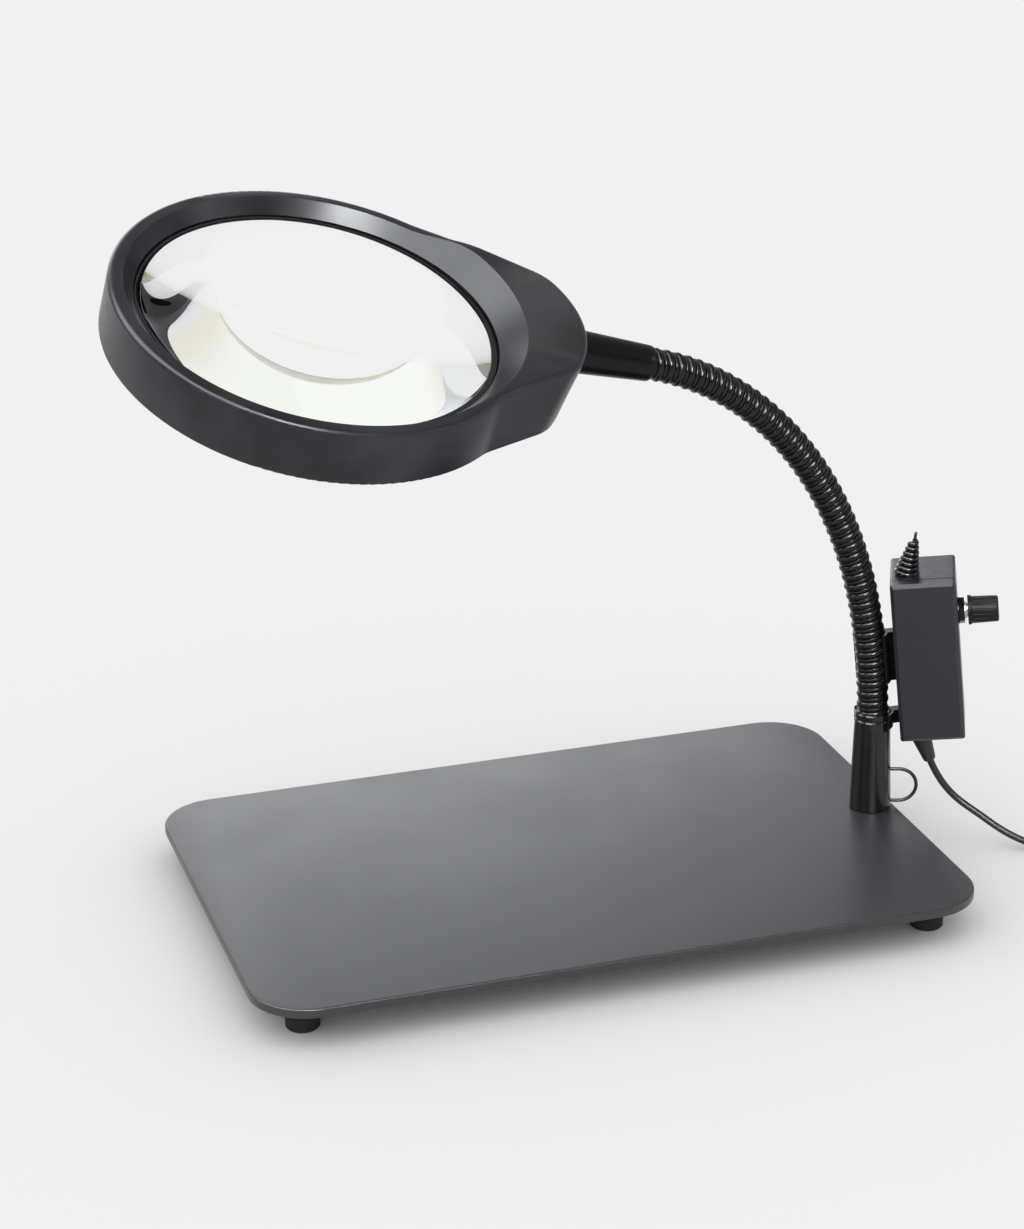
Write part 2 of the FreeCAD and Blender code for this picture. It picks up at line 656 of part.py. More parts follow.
def led_board():
    """The cream LED ring: a short cone under the lens seat that faces inwards and down."""
    low = -HEAD_HEIGHT + 0.6
    return turned([
        (LED_INNER_RADIUS, -LED_TOP_DEPTH),
        (LED_INNER_RADIUS + LED_BOARD_THICKNESS, -LED_TOP_DEPTH),
        (LED_INNER_RADIUS + LED_BOARD_THICKNESS + LED_SLOPE_RUN, low),
        (LED_INNER_RADIUS + LED_SLOPE_RUN, low),
    ])


def led_chips():
    """The light-emitting chips, evenly spaced on the LED ring."""
    chips = []
    slope = math.atan2(LED_SLOPE_RUN, HEAD_HEIGHT - 0.6 - LED_TOP_DEPTH)
    middle_depth = (LED_TOP_DEPTH + HEAD_HEIGHT - 0.6) / 2
    middle_radius = LED_INNER_RADIUS + LED_SLOPE_RUN / 2
    for index in range(LED_COUNT):
        chip = block(
            Vector(-0.8, -CHIP_HALF_WIDTH, -CHIP_HALF_HEIGHT),
            Vector(-0.02, CHIP_HALF_WIDTH, CHIP_HALF_HEIGHT),
        )
        chip = chip.rotated(ORIGIN, Y_AXIS, -math.degrees(slope))
        chip = chip.translated(Vector(middle_radius, 0, -middle_depth))
        chips.append(chip.rotated(ORIGIN, Z_AXIS, (index + 0.5) * 360 / LED_COUNT))
    return chips


def head_leads():
    """Two wires from the spigot's mouth to the LED ring."""
    spigot_end = Vector(0, 0, SLEEVE_LENGTH + SPIGOT_LENGTH + 1)
    mouth = HEAD_PLACE.inverse().multVec(SLEEVE_PLACE.multVec(spigot_end))
    wires = []
    for side in (-1, 1):
        start = mouth + Vector(0, side * 1.0, 0)
        end = Vector(LED_INNER_RADIUS + 5.0, side * 6.0, -15.5)
        middle = (start + end) * 0.5 + Vector(0, side * 3.0, -1.5)
        wires.append(swept([start, middle, end], 0.6))
    return wires


# ---- dimmer box: its own frame has +X to the knob, -Y to the front, origin in its middle -------
HALF_WIDTH = BOX_WIDTH / 2
HALF_DEPTH = BOX_DEPTH / 2
HALF_HEIGHT = BOX_HEIGHT / 2
LID_DEPTH = 6.5
SEAM_Y = -HALF_DEPTH + LID_DEPTH
LID_GAP = 0.6               # the groove that shows all round between lid and body
LID_BEVEL = 1.5
BOX_ROUND = 1.2
KNOB_PLACE = FreeCAD.Placement(Vector(HALF_WIDTH, 0, KNOB_HEIGHT), FreeCAD.Rotation(Z_AXIS, X_AXIS))
GUARD_PLACE = FreeCAD.Placement(
    Vector(-HALF_WIDTH + 5.7, SEAM_Y + 8.2, HALF_HEIGHT), FreeCAD.Rotation(Y_AXIS, 21)
)
RELIEF_PLACE = FreeCAD.Placement(
    Vector(-HALF_WIDTH + 7.5, -3.0, -HALF_HEIGHT), FreeCAD.Rotation(Y_AXIS, 165)
)
BOX_SCREWS = ((-8.4, 30.0), (8.4, 30.0), (-8.4, -30.0), (8.4, -30.0))
BOX_SCREW_RADIUS = 1.2
BOX_SCREW_HEAD_RADIUS = 2.1
BOX_SCREW_RECESS = 2.2
BUSHING_RADIUS = 3.6
RELIEF_NECK_RADIUS = 2.6
GUARD_NECK_RADIUS = 2.0


def at_box_screws(shape):
    """Copies of an upright shape, laid along the box's depth at each of its four screws."""
    turn = FreeCAD.Rotation(Z_AXIS, Y_AXIS)
    return [placed(shape, FreeCAD.Placement(Vector(x, 0, z), turn)) for x, z in BOX_SCREWS]


def box_hull(front, back, inset):
    """A rounded slab of the box between two depths."""
    low = Vector(-HALF_WIDTH + inset, front, -HALF_HEIGHT + inset)
    high = Vector(HALF_WIDTH - inset, back, HALF_HEIGHT - inset)
    slab = block(low, high)

    def runs_back(edge):
        box = edge.BoundBox
        return box.YLength > 1 and box.XLength < 1e-6 and box.ZLength < 1e-6

    return rounded(slab, BOX_ROUND, runs_back)


def box_body():
    """The back shell of the dimmer box, drilled for the knob's bushing and both cords."""
    shell = box_hull(SEAM_Y, HALF_DEPTH, 0)
    cavity = box_hull(SEAM_Y - 1, HALF_DEPTH - BOX_WALL, BOX_WALL)
    posts = at_box_screws(disc(2.6, SEAM_Y + 0.6, HALF_DEPTH - 1))
    holes = at_box_screws(disc(BOX_SCREW_RADIUS + LOOSE_GAP, SEAM_Y - 1, HALF_DEPTH + 1))
    recess = disc(BOX_SCREW_HEAD_RADIUS + 0.2, HALF_DEPTH - BOX_SCREW_RECESS, HALF_DEPTH + 1)
    recesses = at_box_screws(recess)
    bushing_hole = placed(disc(BUSHING_RADIUS + LOOSE_GAP, -BOX_WALL - 1, 1), KNOB_PLACE)
    guard_hole = placed(disc(GUARD_NECK_RADIUS + RUNNING_GAP, -8, 1), GUARD_PLACE)
    relief_hole = placed(disc(RELIEF_NECK_RADIUS + RUNNING_GAP, -6, 1), RELIEF_PLACE)
    all_holes = holes + recesses + [bushing_hole, guard_hole, relief_hole]
    return joined(shell.cut(cavity), *posts).cut(all_holes)


def box_lid():
    """The front lid of the dimmer box, with a bevelled outer edge and pads for the screws."""
    front = -HALF_DEPTH
    lid = box_hull(front, SEAM_Y - LID_GAP, 0)
    bevelled = [e for e in lid.Edges if abs(e.BoundBox.YMax - front) < 1e-4]
    lid = lid.makeChamfer(LID_BEVEL, bevelled)
    pocket = box_hull(front + BOX_WALL, SEAM_Y, BOX_WALL)
    pads = at_box_screws(disc(2.3, front + 1, SEAM_Y + 0.5))
    pilots = at_box_screws(disc(BOX_SCREW_RADIUS + 0.02, front + 1.3, SEAM_Y + 1))
    return joined(lid.cut(pocket), *pads).cut(pilots)


def box_screws():
    """The four screws that join the box's halves, from the back."""
    head_floor = HALF_DEPTH - BOX_SCREW_RECESS
    head = disc(BOX_SCREW_HEAD_RADIUS, head_floor, HALF_DEPTH - 0.6)
    shank = disc(BOX_SCREW_RADIUS, -HALF_DEPTH + 1.6, head_floor)
    slot = block(Vector(-2.2, -0.25, HALF_DEPTH - 1.2), Vector(2.2, 0.25, HALF_DEPTH))
    return at_box_screws(joined(head, shank).cut(slot))


POT_RADIUS = 7.5
POT_DEPTH = 8.0
WASHER_TOP = 0.6            # heights on the knob's axis, from the box's side
NUT_TOP = 2.8
BUSHING_TOP = 3.6
KNOB_FLOOR = 4.2
KNOB_FLUTES = 18
SHAFT_FLAT = 1.6            # of the shaft's flat from its axis
SHAFT_FLAT_START = 4.4
SHAFT_TOP = KNOB_FLOOR + 9.0


def dimmer_pot():
    """The dimmer's potentiometer: round can, and the bushing that goes through the box's side."""
    can = disc(POT_RADIUS, -BOX_WALL - POT_DEPTH, -BOX_WALL - 0.1)
    bushing = disc(BUSHING_RADIUS, -BOX_WALL - 0.1, BUSHING_TOP)
    bore = disc(SHAFT_RADIUS + RUNNING_GAP, -BOX_WALL - 6, 4)
    return placed(joined(can, bushing).cut(bore), KNOB_PLACE)


def dimmer_nut():
    """The nut on the bushing, outside the box."""
    return placed(hexagon(10.0, WASHER_TOP, NUT_TOP).cut(disc(BUSHING_RADIUS, 0, BUSHING_TOP)), KNOB_PLACE)


def dimmer_washer():
    """The washer under that nut."""
    return placed(disc(5.6, 0, WASHER_TOP).cut(disc(BUSHING_RADIUS, 0, WASHER_TOP)), KNOB_PLACE)


def flat_beside_shaft():
    """What the shaft's flat takes away from a round shaft."""
    side = SHAFT_RADIUS + 1
    return block(Vector(SHAFT_FLAT, -side, SHAFT_FLAT_START), Vector(side, side, SHAFT_TOP + 1))


def dimmer_shaft():
    """The shaft that turns in the bushing, with the flat that drives the knob."""
    shaft = disc(SHAFT_RADIUS, -BOX_WALL - 5.8, SHAFT_TOP)
    return placed(shaft.cut(flat_beside_shaft()), KNOB_PLACE)


def dimmer_knob():
    """The fluted knob, slightly tapered, with a skirt at the box's side and a pointer line."""
    knob = turned([
        (0, KNOB_FLOOR),
        (KNOB_RADIUS + 0.5, KNOB_FLOOR),
        (KNOB_RADIUS + 0.5, KNOB_FLOOR + 1.2),
        (KNOB_RADIUS, KNOB_FLOOR + 1.6),
        (KNOB_RADIUS - 0.25, KNOB_FLOOR + KNOB_LENGTH - 0.6),
        (KNOB_RADIUS - 0.9, KNOB_FLOOR + KNOB_LENGTH),
        (0, KNOB_FLOOR + KNOB_LENGTH),
    ])
    flutes = []
    for index in range(KNOB_FLUTES):
        flute = disc(0.45, KNOB_FLOOR + 2.2, KNOB_FLOOR + KNOB_LENGTH + 1, KNOB_RADIUS + 0.1)
        flutes.append(flute.rotated(ORIGIN, Z_AXIS, (index + 0.5) * 360 / KNOB_FLUTES))
    pointer = block(
        Vector(KNOB_RADIUS - 3.8, -0.35, KNOB_FLOOR + KNOB_LENGTH - 0.4),
        Vector(KNOB_RADIUS, 0.35, KNOB_FLOOR + KNOB_LENGTH + 1),
    )
    bore = disc(SHAFT_RADIUS, KNOB_FLOOR, SHAFT_TOP).cut(flat_beside_shaft())
    return placed(knob.cut([bore, pointer] + flutes), KNOB_PLACE)


def circuit_board():
    """The dimmer's circuit board, below the potentiometer."""
    return block(Vector(-9.5, 2.0, -22.0), Vector(9.5, 3.6, 6.0))


def board_parts():
    """What stands on the board: a capacitor, a chip with its cooling tab, and a terminal block."""
    capacitor = disc(3.6, 0, 9.0).rotated(ORIGIN, X_AXIS, 90).translated(Vector(4.5, 2.0, -1.5))
    chip = block(Vector(-7.5, -2.6, -8.0), Vector(-1.5, 2.0, 1.0))
    terminals = block(Vector(-8.0, -5.5, -20.5), Vector(8.0, 2.0, -13.5))
    return [capacitor, chip, terminals]


# ---- clips that hold the box to the post and the neck -----------------------------------------
CLIP_WALL = 1.0
CLIP_MOUTH = 172.0          # degrees of the clip that are open
CLIP_MOUTH_HEADING = -146.0 # of the open side, round the neck from +X: to the front left
CLIP_REACH = 11.0
WEB_HALF_WIDTH = 2.2


def box_room():
    """The space that the dimmer box takes."""
    return placed(box_hull(-HALF_DEPTH - 1, HALF_DEPTH + 1, 0), BOX_PLACE)


def clip_ring(place, inner, low, high):
    """An open ring round the neck."""
    ring = disc(inner + CLIP_WALL, low, high).cut(disc(inner, low, high))
    reach = 3 * inner
    spread = reach * math.tan(math.radians(CLIP_MOUTH / 2))
    corners = [Vector(0, 0, low), Vector(reach, spread, low), Vector(reach, -spread, low)]
    mouth = Part.Face(Part.makePolygon(corners + corners[:1])).extrude(Vector(0, 0, high - low))
    mouth = mouth.rotated(ORIGIN, Z_AXIS, CLIP_MOUTH_HEADING)
    return placed(ring.cut(mouth), place)


def neck_clip():
    """The moulded clip that grips the neck beside the box, with the web that carries the box."""
    point, heading = STATIONS[HELD_SECTIONS - 2]
    place = along(point, direction(heading))
    inner = COIL_RADIUS + RUNNING_GAP
    ring = clip_ring(place, inner, -CLIP_REACH, CLIP_REACH)
    web_low = Vector(POST_X - 2, -WEB_HALF_WIDTH, point.z - CLIP_REACH)
    web = block(web_low, Vector(BOX_CENTRE.x, WEB_HALF_WIDTH, point.z + CLIP_REACH))
    neck_room = [
        bent_slice(section, 0, SECTION_LENGTH, inner, 0)
        for section in range(HELD_SECTIONS)
    ]
    whole = joined(ring, web).cut(neck_room + [box_room()])
    return max(whole.Solids, key=lambda solid: solid.Volume)


def post_clip():
    """The lower clip, round the post's collar, with its short arm to the box."""
    inner = POST_TOP_RADIUS + 0.2
    place = FreeCAD.Placement(Vector(POST_X, 0, POST_TOP), FreeCAD.Rotation())
    ring = clip_ring(place, inner, -3.5, COLLAR_HEIGHT)
    arm_low = Vector(POST_X + inner + 0.2, -WEB_HALF_WIDTH, POST_TOP - 3.2)
    arm = block(arm_low, Vector(BOX_CENTRE.x, WEB_HALF_WIDTH, POST_TOP + 2.7))
    whole = joined(ring, arm).cut(box_room())
    return min(whole.Solids, key=lambda solid: solid.CenterOfMass.x)


# ---- leads and cord -----------------------------------------------------------------------------
GUARD_LENGTH = 18.8
GUARD_FOOT_RADIUS = 5.2
GUARD_TIP_RADIUS = 1.3
GUARD_TURNS = 7


def lead_guard():
    """The tapering coil that guards the lamp's lead on top of the box, as rings on a cone."""
    pitch = GUARD_LENGTH / GUARD_TURNS
    outline = [(0, -1.0)]
    for turn in range(GUARD_TURNS):
        foot = GUARD_FOOT_RADIUS + (GUARD_TIP_RADIUS - GUARD_FOOT_RADIUS) * turn / GUARD_TURNS
        low = turn * pitch - (1.0 if turn == 0 else 0.0)
        outline.append((foot, low))
        outline.append((foot - 0.2, turn * pitch + pitch * 0.7))
        outline.append((foot - 1.3, turn * pitch + pitch))
    outline.append((0, GUARD_LENGTH))
    coil = placed(turned(outline), GUARD_PLACE).cut(box_hull(-HALF_DEPTH, HALF_DEPTH, 0))
    neck = placed(disc(GUARD_NECK_RADIUS, -BOX_WALL - 0.5, 1.0), GUARD_PLACE)
    return joined(coil, neck)


RELIEF_LENGTH = 14.5


def cord_relief():
    """The tapered rubber sleeve under the box that the power cord leaves through."""
    grip = placed(
        turned([
            (0, -1.0),
            (4.4, -1.0),
            (4.4, 2.0),
            (2.7, RELIEF_LENGTH - 0.5),
            (2.4, RELIEF_LENGTH),
            (0, RELIEF_LENGTH),
        ]),
        RELIEF_PLACE,
    ).cut(box_hull(-HALF_DEPTH, HALF_DEPTH, 0))
    neck = placed(disc(RELIEF_NECK_RADIUS, -BOX_WALL - 0.5, 1.0), RELIEF_PLACE)
    return placed(joined(grip, neck), BOX_PLACE).cut(power_cord())


CORD_REST_HEIGHT = 2.4
CORD_END = Vector(238.0, -74.0, CORD_REST_HEIGHT)
CORD_END_DIRECTION = Vector(0.93, -0.36, 0).normalize()


def power_cord():
    """The power cord: out of the box, down to the bench, and off to the front right."""
    def in_relief(distance):
        return BOX_PLACE.multVec(RELIEF_PLACE.multVec(Vector(0, 0, distance)))

    path = [
        in_relief(-4.0),
        in_relief(0.0),
        in_relief(RELIEF_LENGTH),
        Vector(176.8, -8.5, 18.5),
        Vector(184.6, -15.0, 12.4),
        Vector(192.0, -21.5, 7.0),
        Vector(200.0, -29.0, 3.4),
        Vector(208.0, -38.5, CORD_REST_HEIGHT),
        Vector(217.0, -52.0, CORD_REST_HEIGHT),
        CORD_END - CORD_END_DIRECTION * 6,
        CORD_END,
    ]
    return swept(path, CORD_RADIUS)


PLUG_LENGTH = 24.0


def plug_frame():
    """The plug's own frame: +Z runs out of the cord's end."""
    return along(CORD_END, CORD_END_DIRECTION)


def plug_body():
    """The moulded grip of the low-voltage plug."""
    grip = turned([
        (0, 0.05),
        (2.0, 0.05),
        (2.2, 6.0),
        (2.0, 6.6),
        (2.0, 8.0),
        (2.1, 8.4),
        (2.1, PLUG_LENGTH - 0.5),
        (1.95, PLUG_LENGTH),
        (0, PLUG_LENGTH),
    ])
    return placed(grip, plug_frame()).cut(power_cord())


def plug_barrel():
    """The plug's hollow metal barrel."""
    barrel = disc(1.95, PLUG_LENGTH, PLUG_LENGTH + 9.5).cut(disc(1.25, PLUG_LENGTH + 1, PLUG_LENGTH + 9.5))
    return placed(barrel, plug_frame())


def lead_loop():
    """The loop of lamp lead that shows at the foot of the post: two straight ends and a half turn."""
    low, high = LOOP_HOLE_HEIGHTS
    bend = (high - low) / 2
    straight = LOOP_REACH - bend
    post_axis = Vector(POST_X, 0, 0)

    def at(reach, height):
        return post_axis + LOOP_DIRECTION * reach + Vector(0, 0, height)

    path = [
        Part.makeLine(at(LOOP_START, high), at(straight, high)),
        Part.Arc(at(straight, high), at(LOOP_REACH, low + bend), at(straight, low)).toShape(),
        Part.makeLine(at(straight, low), at(LOOP_START, low)),
    ]
    circle = Part.Wire(Part.makeCircle(LEAD_RADIUS, at(LOOP_START, high), LOOP_DIRECTION))
    return Part.Wire(path).makePipeShell([circle], True, False)


# ---- the whole lamp -----------------------------------------------------------------------------
def build_base():
    feet, screws = zip(*[foot_and_screw(x, y) for x, y in foot_places()])
    save("base_plate", base_plate())
    save("rubber_feet", *feet)
    save("foot_screws", *screws)
    save("post", post())
    save("post_bolt", post_bolt())
    save("post_washer", post_washer())
    save("post_grub_screw", post_grub_screw())
    save("post_collar", post_collar())
    save("lead_loop", lead_loop())


def build_neck():
    save("neck_root", neck_root())
    for index in range(FREE_SECTIONS):
        section = wound_section(HELD_SECTIONS + index, SECTION_GAP / 2, SECTION_GAP / 2)
        save(f"neck_section_{index + 1:02d}", section)
    save("neck_sleeve", placed(neck_sleeve(), SLEEVE_PLACE))
    save("spigot_nut", placed(spigot_nut(), SLEEVE_PLACE))
    save("spigot_washer", placed(spigot_washer(), SLEEVE_PLACE))


def build_head():
    pieces = {
        "upper_housing": [upper_housing()],
        "lower_cover": [lower_cover()],
        "head_screws": head_screws(),
        "lens": [lens()],
        "lens_seal": [lens_seal()],
        "lens_ring": [lens_ring()],
        "led_board": [led_board()],
        "led_chips": led_chips(),
        "head_leads": head_leads(),
    }
    for node, solids in pieces.items():
        save(node, *[placed(solid, HEAD_PLACE) for solid in solids])


def build_box():
    pieces = {
        "box_body": [box_body()],
        "box_lid": [box_lid()],
        "box_screws": box_screws(),
        "circuit_board": [circuit_board()],
        "board_parts": board_parts(),
        "dimmer_pot": [dimmer_pot()],
        "dimmer_washer": [dimmer_washer()],
        "dimmer_nut": [dimmer_nut()],
        "dimmer_shaft": [dimmer_shaft()],
        "dimmer_knob": [dimmer_knob()],
        "lead_guard": [lead_guard()],
    }
    for node, solids in pieces.items():
        save(node, *[placed(solid, BOX_PLACE) for solid in solids])
    save("cord_relief", cord_relief())
    save("neck_clip", neck_clip())
    save("post_clip", post_clip())
    save("power_cord", power_cord())
    save("plug_body", plug_body())
    save("plug_barrel", plug_barrel())


os.makedirs("parts", exist_ok=True)
build_base()
build_neck()
build_head()
build_box()
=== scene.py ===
import json
import math

import bmesh
import bpy
from mathutils import Matrix, Vector

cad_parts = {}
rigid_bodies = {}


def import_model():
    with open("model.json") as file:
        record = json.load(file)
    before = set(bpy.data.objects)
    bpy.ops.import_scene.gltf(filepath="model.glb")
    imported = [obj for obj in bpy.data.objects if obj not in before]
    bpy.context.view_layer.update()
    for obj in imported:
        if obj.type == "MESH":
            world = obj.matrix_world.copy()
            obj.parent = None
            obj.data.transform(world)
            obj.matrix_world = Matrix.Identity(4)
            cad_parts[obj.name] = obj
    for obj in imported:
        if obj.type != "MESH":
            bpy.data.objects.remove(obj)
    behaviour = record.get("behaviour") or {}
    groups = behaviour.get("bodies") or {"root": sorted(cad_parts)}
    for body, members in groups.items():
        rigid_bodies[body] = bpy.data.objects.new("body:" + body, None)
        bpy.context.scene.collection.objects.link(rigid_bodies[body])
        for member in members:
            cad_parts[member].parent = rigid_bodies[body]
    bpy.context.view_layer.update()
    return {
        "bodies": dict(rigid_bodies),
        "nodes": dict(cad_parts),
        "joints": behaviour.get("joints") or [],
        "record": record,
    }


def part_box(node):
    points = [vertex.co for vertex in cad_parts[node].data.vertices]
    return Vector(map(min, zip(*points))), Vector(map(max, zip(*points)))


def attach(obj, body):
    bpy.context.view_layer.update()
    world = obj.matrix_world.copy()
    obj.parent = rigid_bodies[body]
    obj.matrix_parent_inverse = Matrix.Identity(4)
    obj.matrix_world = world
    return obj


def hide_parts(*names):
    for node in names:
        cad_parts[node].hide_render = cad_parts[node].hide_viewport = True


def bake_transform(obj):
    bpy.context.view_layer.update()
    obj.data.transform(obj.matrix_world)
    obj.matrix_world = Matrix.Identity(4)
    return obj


# Looks of a bench magnifying lamp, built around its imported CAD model. Metres, +Z up.

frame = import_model()
MM = 0.001
JOINTS = {joint["name"]: joint for joint in frame["joints"]}


# ---- places taken from the frame ------------------------------------------------------------
def joint_place(name):
    """A joint's position at rest."""
    return Vector(JOINTS[name]["pos_m"])


def node_points(node):
    """The vertices of a CAD node at rest."""
    return [vertex.co.copy() for vertex in frame["nodes"][node].data.vertices]


def box_centre(node):
    """The middle of a CAD node's box."""
    low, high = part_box(node)
    return (low + high) / 2


def centroid(points):
    """The mean of some points."""
    return sum(points, Vector()) / len(points)


# ---- material helpers -------------------------------------------------------------------------
class Finish:
    """Builds one procedural material: a colour that varies, a varying roughness, and relief."""

    def __init__(self, name, color, roughness, metallic=0.0, specular=0.5):
        self.material = bpy.data.materials.new(name)
        self.material.use_nodes = True
        self.nodes = self.material.node_tree.nodes
        self.links = self.material.node_tree.links
        self.shader = self.nodes["Principled BSDF"]
        self.shader.inputs["Metallic"].default_value = metallic
        self.shader.inputs["Specular IOR Level"].default_value = specular
        self.place = self.nodes.new("ShaderNodeTexCoord").outputs["Object"]
        self.color = self.value_node(color)
        self.roughness = self.number_node(roughness)
        self.height = None

    def value_node(self, color):
        """A constant colour."""
        node = self.nodes.new("ShaderNodeRGB")
        node.outputs[0].default_value = (*color, 1.0)
        return node.outputs[0]

    def number_node(self, number):
        """A constant number."""
        node = self.nodes.new("ShaderNodeValue")
        node.outputs[0].default_value = number
        return node.outputs[0]

    def noise(self, size, detail=3.0, stretch=(1, 1, 1)):
        """A noise whose lumps are about size metres across."""
        mapping = self.nodes.new("ShaderNodeMapping")
        mapping.inputs["Scale"].default_value = stretch
        self.links.new(self.place, mapping.inputs["Vector"])
        noise = self.nodes.new("ShaderNodeTexNoise")
        noise.inputs["Scale"].default_value = 1.0 / size
        noise.inputs["Detail"].default_value = detail
        self.links.new(mapping.outputs[0], noise.inputs["Vector"])
        return noise.outputs["Fac"]

    def ramp(self, source, low, high, to_low=0.0, to_high=1.0):
        """A number carried from one range to another, and kept inside it."""
        node = self.nodes.new("ShaderNodeMapRange")
        node.inputs["From Min"].default_value = low
        node.inputs["From Max"].default_value = high
        node.inputs["To Min"].default_value = to_low
        node.inputs["To Max"].default_value = to_high
        self.links.new(source, node.inputs["Value"])
        return node.outputs[0]

    def mix_color(self, factor, color):
        """Moves the colour towards another one where factor is high."""
        node = self.nodes.new("ShaderNodeMix")
        node.data_type = "RGBA"
        self.links.new(factor, node.inputs["Factor"])
        self.links.new(self.color, node.inputs["A"])
        node.inputs["B"].default_value = (*color, 1.0)
        self.color = node.outputs["Result"]

    def mottle(self, size, color, amount):
        """Soft patches of another colour."""
        self.mix_color(self.ramp(self.noise(size), 0.35, 0.75, 0.0, amount), color)

    def smudge(self, size, change):
        """Patches that are rougher, as handled and dusted surfaces are."""
        node = self.nodes.new("ShaderNodeMath")
        node.operation = "ADD"
        self.links.new(self.roughness, node.inputs[0])
        self.links.new(self.ramp(self.noise(size, 5.0), 0.3, 0.75, 0.0, change), node.inputs[1])
        self.roughness = node.outputs[0]

    def relief(self, source, depth):
        """Adds a height, in metres, to the surface's bump."""
        node = self.nodes.new("ShaderNodeMath")
        node.operation = "MULTIPLY"
        self.links.new(source, node.inputs[0])
        node.inputs[1].default_value = depth
        height = node.outputs[0]
        if self.height is not None:
            total = self.nodes.new("ShaderNodeMath")
            self.links.new(self.height, total.inputs[0])
            self.links.new(height, total.inputs[1])
            height = total.outputs[0]
        self.height = height

    def grain(self, size, depth, detail=2.0):
        """A fine moulded or sprayed grain."""
        self.relief(self.noise(size, detail), depth)

    def painted_edge_highlight(self, color, amount, width=0.0006):
        """A paler line painted along edges, a painted highlight standing in for the light caught by
        their rounding.
        """
        bevel = self.nodes.new("ShaderNodeBevel")
        bevel.samples = 4
        bevel.inputs["Radius"].default_value = width
        geometry = self.nodes.new("ShaderNodeNewGeometry")
        product = self.nodes.new("ShaderNodeVectorMath")
        product.operation = "DOT_PRODUCT"
        self.links.new(bevel.outputs[0], product.inputs[0])
        self.links.new(geometry.outputs["Normal"], product.inputs[1])
        self.mix_color(self.ramp(product.outputs["Value"], 0.995, 0.93, 0.0, amount), color)

    def near(self, spot, inner, outer):
        """A mask that is 1 close to a spot and 0 far from it."""
        distance = self.nodes.new("ShaderNodeVectorMath")
        distance.operation = "DISTANCE"
        self.links.new(self.place, distance.inputs[0])
        distance.inputs[1].default_value = spot
        return self.ramp(distance.outputs["Value"], inner, outer, 1.0, 0.0)

    def facing_up(self, low, high):
        """A mask that is 1 where the surface faces up."""
        split = self.nodes.new("ShaderNodeSeparateXYZ")
        geometry = self.nodes.new("ShaderNodeNewGeometry")
        self.links.new(geometry.outputs["Normal"], split.inputs[0])
        return self.ramp(split.outputs["Z"], low, high)

    def product(self, first, second):
        """Two masks multiplied."""
        node = self.nodes.new("ShaderNodeMath")
        node.operation = "MULTIPLY"
        self.links.new(first, node.inputs[0])
        self.links.new(second, node.inputs[1])
        return node.outputs[0]

    def done(self):
        """Connects everything and gives the material."""
        self.links.new(self.color, self.shader.inputs["Base Color"])
        self.links.new(self.roughness, self.shader.inputs["Roughness"])
        if self.height is not None:
            bump = self.nodes.new("ShaderNodeBump")
            bump.inputs["Distance"].default_value = 1.0
            self.links.new(self.height, bump.inputs["Height"])
            self.links.new(bump.outputs[0], self.shader.inputs["Normal"])
        return self.material


# ---- materials ----------------------------------------------------------------------------------
def plate_paint():
    """Dark grey textured powder coat, a little glossier where it is handled."""
    finish = Finish("plate_paint", (0.040, 0.040, 0.043), 0.32, specular=0.5)
    finish.mottle(0.05, (0.048, 0.047, 0.050), 0.5)
    finish.mottle(0.0012, (0.030, 0.030, 0.032), 0.5)
    finish.smudge(0.04, 0.06)
    finish.grain(0.0009, 0.00004, 3.0)
    finish.grain(0.00035, 0.00002)
    return finish.done()


def black_enamel(name, roughness, specular):
    """Glossy black enamel with a slight orange-peel skin."""
    finish = Finish(name, (0.006, 0.006, 0.0065), roughness, specular=specular)
    finish.mottle(0.004, (0.012, 0.012, 0.013), 0.6)
    finish.smudge(0.006, 0.10)
    finish.grain(0.0016, 0.000008)
    return finish.done()


# Painted highlight: the span of the tail's top that is painted paler to stand for the light falling on
# it.
PAINTED_TAIL_LIGHT_INNER = 34 * MM     # the paler top of the tail, measured from the head's swivel
PAINTED_TAIL_LIGHT_OUTER = 48 * MM


def housing_plastic():
    """Near-black moulded plastic with a fine grain; the upward-facing top of the tail is painted paler,
    a painted highlight standing in for the light that falls on it.
    """
    finish = Finish("housing_plastic", (0.0060, 0.0060, 0.0080), 0.31, specular=0.40)
    finish.mottle(0.03, (0.036, 0.037, 0.050), 0.75)
    # Painted highlight: where the tail's top faces up, its colour is mixed paler to stand for the light
    # that falls on it.
    painted_light_on_tail = finish.near(joint_place("head_swivel"), PAINTED_TAIL_LIGHT_INNER, PAINTED_TAIL_LIGHT_OUTER)
    painted_light_facing_up = finish.facing_up(0.90, 0.97)
    finish.mix_color(finish.product(painted_light_on_tail, painted_light_facing_up), (0.085, 0.078, 0.076))
    finish.smudge(0.02, 0.08)
    finish.grain(0.0005, 0.000010)
    # Painted highlight: a paler line along the housing's edges, standing in for the light caught by
    # their rounding.
    finish.painted_edge_highlight((0.05, 0.05, 0.05), 0.5)
    return finish.done()


def moulded(name, color, roughness, grain=0.00001, specular=0.5):
    """Moulded plastic or rubber with a fine grain and soft patches."""
    finish = Finish(name, color, roughness, specular=specular)
    finish.mottle(0.006, tuple(1.35 * channel for channel in color), 0.6)
    finish.smudge(0.005, 0.10)
    finish.grain(0.0004, grain)
    return finish.done()


def metal(name, color, roughness, scratches=0.00001):
    """Plated or brushed metal with fine scratches."""
    finish = Finish(name, color, roughness, metallic=1.0)
    finish.mottle(0.003, tuple(0.7 * channel for channel in color), 0.5)
    finish.smudge(0.002, 0.18)
    finish.relief(finish.noise(0.0004, 4.0, (1, 12, 1)), scratches)
    return finish.done()


GLASS_IOR = 1.52


